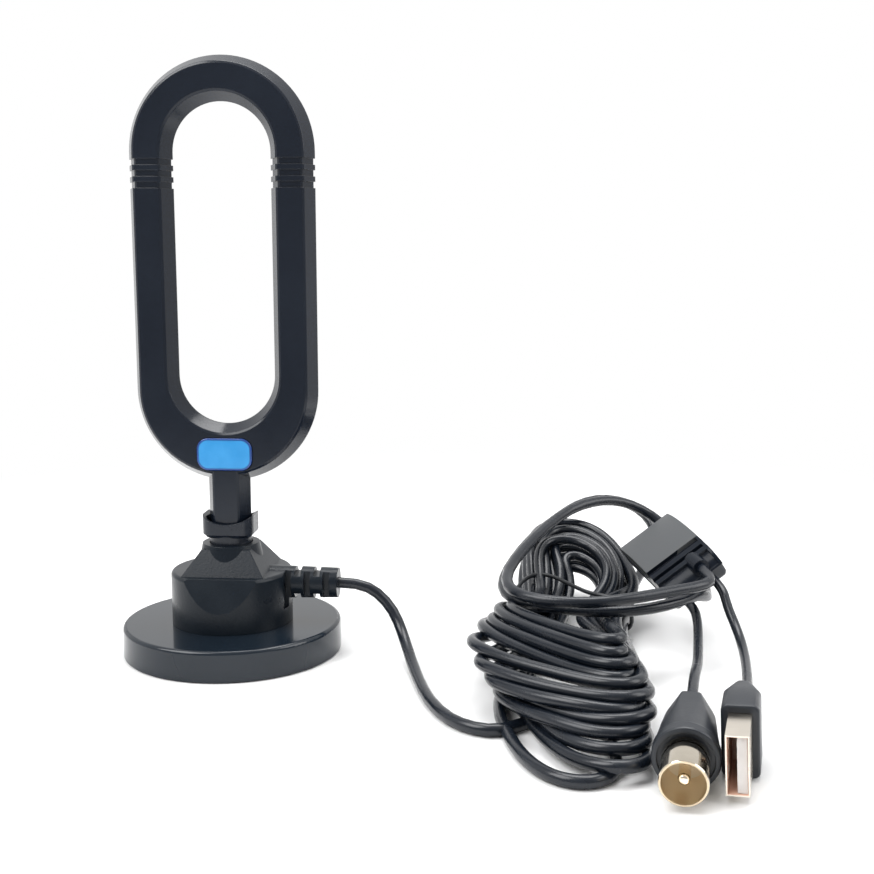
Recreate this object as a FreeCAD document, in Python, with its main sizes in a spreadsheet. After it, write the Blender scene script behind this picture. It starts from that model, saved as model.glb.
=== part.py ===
import FreeCAD, Part
import Sketcher
import math
import os

V = FreeCAD.Vector
doc = FreeCAD.newDocument("tv_antenna")
sheet = doc.addObject("Spreadsheet::Sheet", "sizes")

# Driving sizes in millimetres and degrees
SIZES = [
    # round magnetic foot
    ("disc_diameter", 57.0),
    ("disc_height", 8.0),
    ("disc_edge_round", 1.0),
    ("disc_roof", 2.0),
    ("disc_floor_gap", 0.3),
    ("disc_lip", 2.2),
    ("disc_wall", 4.2),
    ("pad_thickness", 1.0),
    ("pad_gap", 0.3),
    ("pad_diameter", "=disc_diameter - 2 * (disc_lip + pad_gap)"),
    ("magnet_gap", 0.3),
    ("magnet_diameter", "=disc_diameter - 2 * (disc_wall + magnet_gap)"),
    ("magnet_bore", 14.0),
    ("screw_diameter", 2.9),
    ("screw_head_diameter", 5.6),
    ("screw_head_height", 2.0),
    ("screw_reach", 8.0),
    ("screw_gap", 0.1),
    # moulded body that stands on the foot
    ("drum_diameter", 31.5),
    ("drum_height", 13.8),
    ("drum_edge_round", 1.0),
    ("thumb_ledge", 12.4),
    ("thumb_foot", 5.6),
    ("roof_foot_width", 21.4),
    ("roof_head_width", 12.6),
    ("roof_head_height", 20.0),
    ("rim_diameter", 14.8),
    ("rim_rise", 0.9),
    ("rim_height", "=roof_head_height + rim_rise"),
    ("cone_foot_diameter", 18.6),
    # strain relief and the lead inside it
    ("relief_height", 10.3),
    ("relief_reach", 28.4),
    ("relief_root_diameter", 8.8),
    ("relief_tip_diameter", 7.8),
    ("relief_core", 4.6),
    ("relief_root", 8.0),
    ("slot_width", 1.65),
    ("slot_pitch", 2.5),
    ("slot_start", 14.7),
    ("lead_diameter", 2.9),
    ("branch_diameter", 2.4),
    ("boss_run", 6.4),
    ("exit_run", 5.6),
    ("plug_run", 9.5),
    ("lead_gap", 0.15),
    # socket between body and loop
    ("neck_diameter", 10.9),
    ("neck_gap", 0.2),
    ("neck_depth", 3.0),
    ("neck_rise", 1.9),
    ("collar_wall", 0.9),
    ("collar_corner", 3.6),
    ("collar_floor", 1.0),
    ("collar_height", 5.9),
    ("collar_scoop", 2.2),
    ("collar_bevel", 0.9),
    # loop
    ("loop_width", 47.5),
    ("loop_height", 107.3),
    ("loop_depth", 9.4),
    ("limb_width", 11.25),
    ("limb_bevel", 2.2),
    ("limb_edge_round", 0.4),
    ("chin_height", 15.0),
    ("stem_width", 11.0),
    ("stem_length", 13.5),
    ("stem_overlap", 6.0),
    ("stem_side_gap", 0.3),
    ("stem_face_gap", 0.4),
    ("collar_width", "=stem_width + 2 * (stem_side_gap + collar_wall)"),
    ("collar_depth", "=loop_depth + 2 * (stem_face_gap + collar_wall)"),
    ("channel_inset", 2.5),
    ("channel_depth", 3.0),
    ("stem_way_width", 4.0),
    ("stem_way_depth", 2.2),
    ("element_thickness", 1.0),
    ("element_gap", 0.3),
    ("groove_width", 1.55),
    ("groove_pitch", 2.85),
    ("groove_depth", 0.45),
    ("groove_drop", 1.65),
    ("badge_width", 14.3),
    ("badge_height", 8.3),
    ("badge_corner", 2.9),
    ("badge_thickness", 1.0),
    ("badge_seat", 0.5),
    ("badge_gap", 0.1),
    ("badge_edge_round", 0.3),
    # in-line amplifier box
    ("box_back", 18.0),
    ("box_front", 15.0),
    ("box_width", 17.0),
    ("box_arch", 3.0),
    ("box_brow", 9.0),
    ("box_brow_height", 2.1),
    ("box_split", 2.0),
    ("box_height", 6.0),
    ("box_wall", 1.2),
    ("box_edge_round", 1.4),
    ("box_step_start", 4.6),
    ("box_step_depth", 1.1),
    ("box_rim", 0.9),
    ("box_rib_width", 1.5),
    ("box_rib_start", 6.5),
    ("box_rib_pitch", 2.8),
    ("boss_diameter", 4.6),
    ("boss_side", 3.1),
    ("boss_rise", 0.4),
    ("boss_reach", 14.6),
    ("exit_drop", 4.0),
    ("exit_aerial_side", 5.0),
    ("exit_usb_side", 4.0),
    ("board_thickness", 1.0),
    ("board_gap", 0.4),
    ("board_drop", 3.3),
    ("board_rest_width", 1.2),
    ("box_x", 116.39),
    ("box_y", 19.56),
    ("box_z", 22.5),
    ("box_yaw", -71.66),
    ("box_pitch", 8.72),
    ("box_roll", 36.33),
    # aerial plug
    ("aerial_shell_diameter", 9.5),
    ("aerial_shell_wall", 0.5),
    ("aerial_shell_step", 0.25),
    ("aerial_shell_length", 9.5),
    ("aerial_shell_seat", 6.0),
    ("aerial_pin_diameter", 2.4),
    ("aerial_pin_reach", 8.2),
    ("aerial_flange_diameter", 13.5),
    ("aerial_flange_length", 3.0),
    ("aerial_flange_round", 0.5),
    ("aerial_face_recess", 0.6),
    ("aerial_face_gap", 0.9),
    ("aerial_tail_diameter", 8.4),
    ("aerial_flat_start", 9.0),
    ("aerial_flat_tail", 3.1),
    ("aerial_flat_turn", 58.0),
    ("aerial_grip_length", 30.5),
    ("aerial_x", 108.8),
    ("aerial_y", -80.7),
    ("aerial_z", 6.85),
    ("aerial_turn", -80.4),
    ("aerial_dip", -4.5),
    # power plug
    ("usb_shell_width", 12.0),
    ("usb_shell_thickness", 4.5),
    ("usb_shell_wall", 0.32),
    ("usb_shell_length", 12.0),
    ("usb_shell_seat", 5.0),
    ("usb_window_width", 2.4),
    ("usb_window_length", 2.0),
    ("usb_window_side", 2.8),
    ("usb_window_reach", 6.4),
    ("usb_tongue_thickness", 1.9),
    ("usb_tongue_gap", 0.1),
    ("usb_contact_width", 1.1),
    ("usb_contact_length", 7.4),
    ("usb_contact_thickness", 0.1),
    ("usb_contact_inset", 2.0),
    ("usb_contact_pitch", 2.3),
    ("usb_grip_width", 15.2),
    ("usb_grip_thickness", 7.6),
    ("usb_grip_length", 15.0),
    ("usb_grip_round", 1.4),
    ("usb_shoulder", 5.2),
    ("usb_rear_thickness", 4.4),
    ("usb_rear_width", 11.0),
    ("usb_x", 120.4),
    ("usb_y", -73.2),
    ("usb_turn", -77.8),
    ("usb_roll", 3.0),
    ("floor_gap", 0.02),
    # tie round the wound lead
    ("tie_diameter", 1.1),
    ("tie_gap", 0.5),
    ("tie_station", 22.0),
]
for row, (name, value) in enumerate(SIZES, start=1):
    sheet.set("A%d" % row, name)
    sheet.set("B%d" % row, str(value))
    sheet.setAlias("B%d" % row, name)
doc.recompute()


class Size:
    """A number together with the sheet formula that gives it."""

    def __init__(self, value, text):
        self.value = float(value)
        self.text = text

    def __add__(self, other):
        other = as_size(other)
        return Size(self.value + other.value, "(%s + %s)" % (self.text, other.text))

    def __sub__(self, other):
        other = as_size(other)
        return Size(self.value - other.value, "(%s - %s)" % (self.text, other.text))

    def __mul__(self, other):
        other = as_size(other)
        return Size(self.value * other.value, "(%s * %s)" % (self.text, other.text))

    def __truediv__(self, other):
        other = as_size(other)
        return Size(self.value / other.value, "(%s / %s)" % (self.text, other.text))

    def __neg__(self):
        return Size(-self.value, "(-1 * %s)" % self.text)


def as_size(number):
    if isinstance(number, Size):
        return number
    return Size(number, "(%.6f)" % number)


def size(name):
    return Size(sheet.get(name), "sizes." + name)


# Objects and their links to the sheet
nodes = []


def bind(obj, **links):
    for prop, amount in links.items():
        prop = prop.replace("__", ".")
        obj.setExpression(prop, as_size(amount).text)
    return obj


def spot(obj, x=0.0, y=0.0, z=0.0, turn=None):
    x, y, z = as_size(x), as_size(y), as_size(z)
    base = V(x.value, y.value, z.value)
    obj.Placement = FreeCAD.Placement(base, turn or FreeCAD.Rotation())
    for prop, amount in (("x", x), ("y", y), ("z", z)):
        obj.setExpression("Placement.Base." + prop, amount.text)
    return obj


ALONG_X = FreeCAD.Rotation(V(0, 1, 0), 90)
ALONG_Y = FreeCAD.Rotation(V(1, 0, 0), -90)


def cylinder(name, diameter, height, turn=None, **at):
    obj = doc.addObject("Part::Cylinder", name)
    bind(obj, Radius=as_size(diameter) / 2, Height=height)
    return spot(obj, turn=turn, **at)


def box(name, low, high):
    obj = doc.addObject("Part::Box", name)
    spans = [as_size(b) - as_size(a) for a, b in zip(low, high)]
    bind(obj, Length=spans[0], Width=spans[1], Height=spans[2])
    return spot(obj, *low)


def fuse(name, *shapes):
    obj = doc.addObject("Part::MultiFuse", name)
    obj.Shapes = list(shapes)
    obj.Refine = True
    return obj


def cut(name, base, *tools):
    obj = doc.addObject("Part::Cut", name)
    obj.Base = base
    obj.Tool = tools[0] if len(tools) == 1 else fuse(name + "_tools", *tools)
    obj.Refine = True
    return obj


def group(name, *shapes):
    obj = doc.addObject("Part::Compound", name)
    obj.Links = list(shapes)
    return obj


def feature(name, shape):
    obj = doc.addObject("Part::Feature", name)
    obj.Shape = shape
    return obj


def loft(name, *sections):
    obj = doc.addObject("Part::Loft", name)
    obj.Sections = list(sections)
    obj.Solid = True
    obj.Ruled = True
    return obj


def extrude(name, sketch, length, direction):
    obj = doc.addObject("Part::Extrusion", name)
    obj.Base = sketch
    obj.DirMode = "Custom"
    obj.Dir = direction
    obj.Solid = True
    bind(obj, LengthFwd=length)
    return obj


def rounded(name, base, amount, test, kind="Part::Fillet"):
    doc.recompute()
    amount = as_size(amount)
    picked = [i for i, e in enumerate(base.Shape.Edges, start=1) if test(e)]
    obj = doc.addObject(kind, name)
    obj.Base = base
    obj.Edges = [(i, amount.value, amount.value) for i in picked]
    return obj


def node(label, obj):
    obj.Label = label
    nodes.append(obj)
    return obj


# Sketches with every size bound to the sheet
def sketch(name, turn=None, body=None, plane=None, **at):
    if body is not None:
        obj = body.newObject("Sketcher::SketchObject", name)
        origin_plane = [o for o in body.Origin.OriginFeatures if o.Role == plane][0]
        obj.AttachmentSupport = [(origin_plane, "")]
        obj.MapMode = "FlatFace"
        return obj
    obj = doc.addObject("Sketcher::SketchObject", name)
    return spot(obj, turn=turn, **at)


def dimension(obj, kind, refs, amount):
    amount = as_size(amount)
    index = obj.addConstraint(Sketcher.Constraint(kind, *refs, amount.value))
    obj.setExpression("Constraints[%d]" % index, amount.text)


def polygon(obj, points):
    points = [(as_size(x), as_size(y)) for x, y in points]
    count = len(points)
    for i in range(count):
        a, b = points[i], points[(i + 1) % count]
        obj.addGeometry(Part.LineSegment(V(a[0].value, a[1].value), V(b[0].value, b[1].value)))
    for i in range(count):
        obj.addConstraint(Sketcher.Constraint("Coincident", i, 2, (i + 1) % count, 1))
    for i, (x, y) in enumerate(points):
        if x.value == 0.0:
            obj.addConstraint(Sketcher.Constraint("PointOnObject", i, 1, -2))
        else:
            dimension(obj, "DistanceX", (-1, 1, i, 1), x)
        if y.value == 0.0:
            obj.addConstraint(Sketcher.Constraint("PointOnObject", i, 1, -1))
        else:
            dimension(obj, "DistanceY", (-1, 1, i, 1), y)
    return obj


def stadium(obj, radius, low, high):
    radius, low, high = as_size(radius), as_size(low), as_size(high)
    r, a, b = radius.value, low.value, high.value
    obj.addGeometry(Part.ArcOfCircle(Part.Circle(V(0, b), V(0, 0, 1), r), 0, math.pi))
    obj.addGeometry(Part.LineSegment(V(-r, b), V(-r, a)))
    obj.addGeometry(Part.ArcOfCircle(Part.Circle(V(0, a), V(0, 0, 1), r), math.pi, 2 * math.pi))
    obj.addGeometry(Part.LineSegment(V(r, a), V(r, b)))
    for i in range(4):
        obj.addConstraint(Sketcher.Constraint("Tangent", i, 2, (i + 1) % 4, 1))
    obj.addConstraint(Sketcher.Constraint("Equal", 0, 2))
    obj.addConstraint(Sketcher.Constraint("PointOnObject", 0, 3, -2))
    obj.addConstraint(Sketcher.Constraint("PointOnObject", 2, 3, -2))
    dimension(obj, "Radius", (0,), radius)
    dimension(obj, "DistanceY", (-1, 1, 2, 3), low)
    dimension(obj, "DistanceY", (-1, 1, 0, 3), high)
    return obj


def rounded_rectangle(obj, left, right, low, high, corner):
    left, right, low, high = as_size(left), as_size(right), as_size(low), as_size(high)
    corner = as_size(corner)
    x0, x1, y0, y1, r = left.value, right.value, low.value, high.value, corner.value
    obj.addGeometry(Part.LineSegment(V(x0 + r, y0), V(x1 - r, y0)))
    obj.addGeometry(Part.LineSegment(V(x1, y0 + r), V(x1, y1 - r)))
    obj.addGeometry(Part.LineSegment(V(x1 - r, y1), V(x0 + r, y1)))
    obj.addGeometry(Part.LineSegment(V(x0, y1 - r), V(x0, y0 + r)))
    centres = [(x1 - r, y0 + r, 1.5), (x1 - r, y1 - r, 0.0), (x0 + r, y1 - r, 0.5), (x0 + r, y0 + r, 1.0)]
    for x, y, start in centres:
        ring = Part.Circle(V(x, y), V(0, 0, 1), r)
        obj.addGeometry(Part.ArcOfCircle(ring, start * math.pi, (start + 0.5) * math.pi))
    for i in range(4):
        obj.addConstraint(Sketcher.Constraint("Tangent", i, 2, i + 4, 1))
        obj.addConstraint(Sketcher.Constraint("Tangent", i + 4, 2, (i + 1) % 4, 1))
        obj.addConstraint(Sketcher.Constraint("Horizontal" if i % 2 == 0 else "Vertical", i))
    for i in (5, 6, 7):
        obj.addConstraint(Sketcher.Constraint("Equal", 4, i))
    dimension(obj, "Radius", (4,), corner)
    dimension(obj, "DistanceY", (-1, 1, 0, 1), low)
    dimension(obj, "DistanceY", (-1, 1, 2, 1), high)
    dimension(obj, "DistanceX", (-1, 1, 3, 1), left)
    dimension(obj, "DistanceX", (-1, 1, 1, 1), right)
    return obj


def turned(label, points, rounds=()):
    body = doc.addObject("PartDesign::Body", label)
    outline = polygon(sketch(label + "_outline", body=body, plane="XZ_Plane"), points)
    turn = body.newObject("PartDesign::Revolution", label + "_turn")
    turn.Profile = outline
    turn.ReferenceAxis = (outline, ["V_Axis"])
    turn.Angle = 360.0
    outline.Visibility = False
    for step, (amount, test) in enumerate(rounds):
        doc.recompute()
        tip = body.Tip
        picked = ["Edge%d" % i for i, e in enumerate(tip.Shape.Edges, start=1) if test(e)]
        edge = body.newObject("PartDesign::Fillet", "%s_round_%d" % (label, step))
        edge.Base = (tip, picked)
        bind(edge, Radius=amount)
        body.Tip = edge
    return body


def ring_edge(radius, height):
    def test(edge):
        curve = edge.Curve
        if not isinstance(curve, Part.Circle):
            return False
        return abs(curve.Radius - radius.value) < 0.01 and abs(curve.Center.z - height.value) < 0.01
    return test


# Round foot: cover, magnet, pad and the screw that holds the body
disc_r = size("disc_diameter") / 2
pad_r = size("pad_diameter") / 2
magnet_r = size("magnet_diameter") / 2
screw_r = size("screw_diameter") / 2
roof_low = size("disc_height") - size("disc_roof")
pad_seat = disc_r - size("disc_lip")
magnet_seat = disc_r - size("disc_wall")
screw_way = screw_r + size("screw_gap")
node("base_cover", turned("base_cover", [
    (screw_way, roof_low),
    (magnet_seat, roof_low),
    (magnet_seat, size("pad_thickness")),
    (pad_seat, size("pad_thickness")),
    (pad_seat, size("disc_floor_gap")),
    (disc_r, size("disc_floor_gap")),
    (disc_r, size("disc_height")),
    (screw_way, size("disc_height")),
], [(size("disc_edge_round"), ring_edge(disc_r, size("disc_height")))]))
node("base_magnet", turned("base_magnet", [
    (size("magnet_bore") / 2, size("pad_thickness")),
    (magnet_r, size("pad_thickness")),
    (magnet_r, roof_low),
    (size("magnet_bore") / 2, roof_low),
]))
node("base_pad", turned("base_pad", [
    (0, 0),
    (pad_r, 0),
    (pad_r, size("pad_thickness")),
    (0, size("pad_thickness")),
]))
node("base_screw", turned("base_screw", [
    (0, roof_low - size("screw_head_height")),
    (size("screw_head_diameter") / 2, roof_low - size("screw_head_height")),
    (size("screw_head_diameter") / 2, roof_low),
    (screw_r, roof_low),
    (screw_r, roof_low + size("screw_reach")),
    (0, roof_low + size("screw_reach")),
]))


# Tube along straight runs joined by tangent arcs
def lead_route(points):
    points = [V(*p) for p in points]
    edges = []
    here = points[0]
    tightest = 1e9
    for i in range(1, len(points) - 1):
        before = points[i] - points[i - 1]
        after = points[i + 1] - points[i]
        setback = 0.45 * min(before.Length, after.Length)
        half = before.getAngle(after) / 2
        radius = setback / math.tan(half)
        tightest = min(tightest, radius)
        way_in = V(before).normalize()
        way_out = V(after).normalize()
        start = points[i] - way_in * setback
        end = points[i] + way_out * setback
        inward = (way_out - way_in).normalize()
        middle = points[i] + inward * (radius / math.cos(half) - radius)
        edges.append(Part.LineSegment(here, start).toShape())
        edges.append(Part.Arc(start, middle, end).toShape())
        here = end
    edges.append(Part.LineSegment(here, points[-1]).toShape())
    return Part.Wire(edges), tightest


def lead_tube(name, points, radius):
    wire, tightest = lead_route(points)
    first = V(*points[0])
    rim = Part.Wire(Part.Circle(first, V(*points[1]) - first, radius).toShape())
    tube = wire.makePipeShell([rim], True, False)
    share = tube.Volume / (math.pi * radius * radius * wire.Length)
    print("%s length %.1f tightest bend %.1f volume share %.4f" % (name, wire.Length, tightest, share))
    return tube


# Lead inside the body, from the relief's end up to the loop's element
relief_z = size("disc_height") + size("relief_height")
collar_low = size("disc_height") + size("rim_height") + size("neck_rise")
stem_foot = collar_low + size("collar_floor")
loop_low = stem_foot + size("stem_length")
element_low = loop_low + size("channel_inset") + size("element_gap")
lead_r = size("lead_diameter") / 2
branch_r = size("branch_diameter") / 2
feed_points = [
    (size("relief_reach").value, 0.0, relief_z.value),
    (0.0, 0.0, relief_z.value),
    (0.0, 0.0, element_low.value),
]
node("feed_cable", feature("feed_cable", lead_tube("feed_cable", feed_points, lead_r.value)))
lead_way = feature("lead_way", lead_tube("lead_way", feed_points, lead_r.value + size("lead_gap").value))

# Moulded body: drum with thumb flats, four-sided roof, round rim and slotted strain relief
disc_top = size("disc_height")
drum_top = disc_top + size("drum_height")
drum_r = size("drum_diameter") / 2
drum = cylinder("drum", size("drum_diameter"), size("drum_height"), z=disc_top)
drum_soft = rounded("drum_soft", drum, size("drum_edge_round"), ring_edge(drum_r, drum_top))
flats = []
for name, side in (("thumb_front", -1.0), ("thumb_back", 1.0)):
    wedge = polygon(sketch(name + "_outline", turn=FreeCAD.Rotation(V(1, 1, 1), 120), x=-drum_r), [
        (drum_r * side, disc_top + size("thumb_foot")),
        (size("thumb_ledge") * side, drum_top),
        (size("thumb_ledge") * side, drum_top + 2.0),
        (drum_r * (1.4 * side), drum_top + 2.0),
        (drum_r * (1.4 * side), disc_top + size("thumb_foot")),
    ])
    flats.append(extrude(name, wedge, size("drum_diameter"), V(1, 0, 0)))
drum_flat = cut("drum_flat", drum_soft, *flats)
cone = doc.addObject("Part::Cone", "roof_cone")
bind(cone, Radius1=size("cone_foot_diameter") / 2, Radius2=size("rim_diameter") / 2)
bind(cone, Height=disc_top + size("rim_height") - drum_top + 1.0)
spot(cone, z=drum_top - 1.0)
roof = doc.addObject("Part::Wedge", "roof_sides")
foot_half = size("roof_foot_width") / 2
head_half = size("roof_head_width") / 2
bind(roof, Xmin=-foot_half, Xmax=foot_half, Zmin=-foot_half, Zmax=foot_half, Ymin=0.0)
bind(roof, X2min=-head_half, X2max=head_half, Z2min=-head_half, Z2max=head_half)
bind(roof, Ymax=size("roof_head_height") - size("drum_height"))
spot(roof, z=drum_top, turn=FreeCAD.Rotation(V(1, 0, 0), 90))
relief = doc.addObject("Part::Cone", "relief_taper")
bind(relief, Radius1=size("relief_root_diameter") / 2, Radius2=size("relief_tip_diameter") / 2)
bind(relief, Height=size("relief_reach") - size("relief_root"))
spot(relief, x=size("relief_root"), z=relief_z, turn=ALONG_X)
body_solid = fuse("body_solid", drum_flat, cone, roof, relief)
body_cuts = [lead_way]
rim_top = disc_top + size("rim_height")
neck_hole = size("neck_diameter") + size("neck_gap") * 2
neck_low = rim_top - size("neck_depth")
body_cuts.append(cylinder("neck_hole", neck_hole, size("neck_depth") + 1.0, z=neck_low))
body_cuts.append(cylinder("screw_hole", screw_way * 2, size("screw_reach"), z=disc_top - 1.0))
core_half = size("relief_core") / 2
for i in range(5):
    x0 = size("slot_start") + size("slot_pitch") * i
    x1 = x0 + size("slot_width")
    for side in (-1, 1):
        near = core_half if side > 0 else -core_half - 5.0
        far = core_half + 5.0 if side > 0 else -core_half
        if i % 2 == 0:
            low = (x0, near, relief_z - 6.0)
            high = (x1, far, relief_z + 6.0)
        else:
            low = (x0, -6.0, relief_z + near)
            high = (x1, 6.0, relief_z + far)
        body_cuts.append(box("slot_%d_%s" % (i, "far" if side > 0 else "near"), low, high))
node("base_body", cut("base_body", body_solid, *body_cuts))

# Socket: round neck in the body's rim and scooped collar round the stem
neck = cylinder("neck", size("neck_diameter"), collar_low - neck_low + 0.5, z=neck_low)
half_w = size("collar_width") / 2
half_d = size("collar_depth") / 2
wall = size("collar_wall")
corner = size("collar_corner")
collar_line = rounded_rectangle(
    sketch("collar_line", z=collar_low), -half_w, half_w, -half_d, half_d, corner)
collar_block = extrude("collar_block", collar_line, size("collar_height"), V(0, 0, 1))


def at_height(height):
    def test(edge):
        return edge.BoundBox.ZMin > height.value - 0.01 and edge.BoundBox.ZMax < height.value + 0.01
    return test


collar_soft = rounded(
    "collar_soft", collar_block, size("collar_bevel"), at_height(collar_low), "Part::Chamfer")
cup_line = rounded_rectangle(
    sketch("cup_line", z=stem_foot), wall - half_w, half_w - wall, wall - half_d, half_d - wall, corner - wall)
cup = extrude("cup", cup_line, size("collar_height"), V(0, 0, 1))
scoop_r = (half_w * half_w + size("collar_scoop") * size("collar_scoop")) / (size("collar_scoop") * 2)
scoop_z = collar_low + size("collar_height") - size("collar_scoop") + scoop_r
scoop = cylinder(
    "scoop", scoop_r * 2, size("collar_depth") * 2, turn=ALONG_Y, y=-size("collar_depth"), z=scoop_z)
socket_solid = fuse("socket_solid", neck, collar_soft)
node("stem_socket", cut("stem_socket", socket_solid, cup, scoop, lead_way))

# Loop: two bevelled halves on a flat metal element
loop_r = size("loop_width") / 2
hole_r = loop_r - size("limb_width")
top_centre = loop_low + size("loop_height") - loop_r
low_centre = loop_low + loop_r
hole_centre = loop_low + size("chin_height") + hole_r
half_depth = size("loop_depth") / 2
UPRIGHT = FreeCAD.Rotation(V(1, 0, 0), 90)
ease = size("limb_edge_round")
bevel_shoulder = size("limb_bevel") * (half_depth - ease) / half_depth
bevel_face = size("limb_bevel") + ease


def ring(name, side, skin):
    steps = (
        ("mid", as_size(0.0), as_size(0.0)),
        ("shoulder", half_depth - ease - skin, bevel_shoulder),
        ("face", half_depth - skin, bevel_face))
    outer = []
    inner = []
    for label, depth, inset in steps:
        line = sketch("%s_outer_%s" % (name, label), turn=UPRIGHT, y=depth * side)
        outer.append(stadium(line, loop_r - skin - inset, low_centre, top_centre))
        line = sketch("%s_inner_%s" % (name, label), turn=UPRIGHT, y=depth * side)
        inner.append(stadium(line, hole_r + skin + inset, hole_centre, top_centre))
    return cut(name, loft(name + "_outer", *outer), loft(name + "_inner", *inner))


def face_edge(height):
    def test(edge):
        return edge.BoundBox.YMin > height.value - 0.01 and edge.BoundBox.YMax < height.value + 0.01
    return test


badge_z = loop_low + size("chin_height") / 2
channel_r = loop_r - size("channel_inset")
channel_hole = hole_r + size("channel_inset")


def loop_half(label, side, seat):
    skin = as_size(0.0)
    full = ring(label + "_ring", side, skin)
    stem_half = size("stem_width") / 2
    stem_top = loop_low + size("stem_overlap")
    stem_shoulder = stem_half - bevel_shoulder
    stem_face = stem_half - bevel_face
    stems = []
    for name, near, far, wide, narrow in (
            ("stem_low", as_size(0.0), half_depth - ease, stem_half, stem_shoulder),
            ("stem_high", half_depth - ease, half_depth, stem_shoulder, stem_face)):
        stem = doc.addObject("Part::Wedge", "%s_%s" % (label, name))
        bind(stem, Xmin=-wide, Xmax=wide, X2min=-narrow, X2max=narrow)
        bind(stem, Zmin=stem_foot, Zmax=stem_top, Z2min=stem_foot, Z2max=stem_top)
        bind(stem, Ymin=near, Ymax=far)
        if side < 0:
            stem.Placement = FreeCAD.Placement(V(0, 0, 0), FreeCAD.Rotation(V(0, 0, 1), 180))
        stems.append(stem)
    solid = fuse(label + "_solid", full, *stems)
    slim = ring(label + "_slim", side, size("groove_depth"))
    bands = []
    for i in range(3):
        top = top_centre - size("groove_drop") - size("groove_pitch") * i
        low = (-loop_r - 1.0, -half_depth - 1.0, top - size("groove_width"))
        high = (loop_r + 1.0, half_depth + 1.0, top)
        bands.append(box("%s_band_%d" % (label, i), low, high))
    skin_ring = cut(label + "_skin", fuse(label + "_bands", *bands), slim)
    channel_out = extrude(
        label + "_channel_out",
        stadium(sketch(label + "_channel_line", turn=UPRIGHT), channel_r, low_centre, top_centre),
        seat, V(0, side, 0))
    channel_in = extrude(
        label + "_channel_in",
        stadium(sketch(label + "_channel_hole", turn=UPRIGHT), channel_hole, hole_centre, top_centre),
        seat, V(0, side, 0))
    channel = cut(label + "_channel", channel_out, channel_in)
    way_half = size("stem_way_width") / 2
    way_low = (-way_half, 0.0 if side > 0 else -size("stem_way_depth"), stem_foot)
    way_high = (way_half, size("stem_way_depth") if side > 0 else 0.0, element_low + 1.0)
    tools = [skin_ring, channel, box(label + "_way", way_low, way_high)]
    if side < 0:
        gap = size("badge_gap")
        half_badge = size("badge_width") / 2 + gap
        tall_badge = size("badge_height") / 2 + gap
        seat_line = rounded_rectangle(
            sketch("badge_seat_line", turn=UPRIGHT, y=-half_depth - 1.0),
            -half_badge, half_badge, badge_z - tall_badge, badge_z + tall_badge, size("badge_corner") + gap)
        tools.append(extrude("badge_seat", seat_line, size("badge_seat") + 1.0, V(0, 1, 0)))
    return node(label, cut(label, solid, *tools))


loop_half("loop_front_cover", -1.0, size("channel_depth"))
loop_half("loop_rear_cover", 1.0, size("element_thickness"))
element_out = extrude(
    "element_out",
    stadium(sketch("element_line", turn=UPRIGHT), channel_r - size("element_gap"), low_centre, top_centre),
    size("element_thickness"), V(0, 1, 0))
element_in = extrude(
    "element_in",
    stadium(sketch("element_hole", turn=UPRIGHT), channel_hole + size("element_gap"), hole_centre, top_centre),
    size("element_thickness"), V(0, 1, 0))
node("loop_element", cut("loop_element", element_out, element_in))

# Badge let into the loop's chin
half_badge = size("badge_width") / 2
tall_badge = size("badge_height") / 2
badge_back = size("badge_seat") - half_depth
badge_line = rounded_rectangle(
    sketch("badge_line", turn=UPRIGHT, y=badge_back),
    -half_badge, half_badge, badge_z - tall_badge, badge_z + tall_badge, size("badge_corner"))
badge_block = extrude("badge_block", badge_line, size("badge_thickness"), V(0, -1, 0))
badge_front = badge_back - size("badge_thickness")
node("badge_plate", rounded("badge_plate", badge_block, size("badge_edge_round"), face_edge(badge_front)))

# In-line amplifier box, drawn level and then laid on the wound lead
lay = FreeCAD.Rotation(size("box_yaw").value, size("box_pitch").value, size("box_roll").value)
box_home = FreeCAD.Placement(V(size("box_x").value, size("box_y").value, size("box_z").value), lay)
half_box = size("box_width") / 2


def cover_side(name, drop):
    back = size("box_back").value
    front = size("box_front").value
    brow = size("box_brow").value
    brow_z = size("box_brow_height").value - drop
    split = -size("box_split").value
    crown = V(-back / 4, 0, size("box_arch").value - drop)
    nose = V(brow + (front - brow) * 0.68, 0, brow_z - (brow_z - split) * 0.36)
    edges = [
        Part.LineSegment(V(-back, 0, split), V(-back, 0, -drop)).toShape(),
        Part.Arc(V(-back, 0, -drop), crown, V(brow, 0, brow_z)).toShape(),
        Part.Arc(V(brow, 0, brow_z), nose, V(front, 0, split)).toShape(),
        Part.LineSegment(V(front, 0, split), V(-back, 0, split)).toShape(),
    ]
    profile = feature(name + "_side", Part.Face(Part.Wire(edges)))
    block = extrude(name, profile, size("box_width"), V(0, 1, 0))
    return spot(block, y=-half_box)


amp_full = cover_side("amp_full", 0.0)
amp_under = cover_side("amp_under", size("box_step_depth").value)
step_zone = box(
    "step_zone",
    (size("box_step_start"), -half_box - 1.0, -size("box_split") + 0.5),
    (size("box_front") + 1.0, half_box - size("box_rim"), size("box_arch") + 2.0))
ribs = []
for i in range(2):
    start = size("box_rib_start") + size("box_rib_pitch") * i
    ribs.append(box(
        "box_rib_%d" % i,
        (start, -half_box - 2.0, -size("box_split")),
        (start + size("box_rib_width"), half_box, size("box_arch") + 3.0)))
step_open = cut("step_open", step_zone, *ribs)
step_tool = cut("step_tool", step_open, amp_under)
hollow_wall = size("box_wall")
cover_hollow = box(
    "cover_hollow",
    (hollow_wall - size("box_back"), hollow_wall - half_box, -size("box_split") - 1.0),
    (size("box_brow"), half_box - hollow_wall, size("box_brow_height") - size("box_step_depth") - hollow_wall))
boss = cylinder(
    "boss", size("boss_diameter"), size("boss_reach") - size("box_brow"), turn=ALONG_X,
    x=size("box_brow"), y=size("boss_side"), z=size("boss_rise"))
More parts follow.
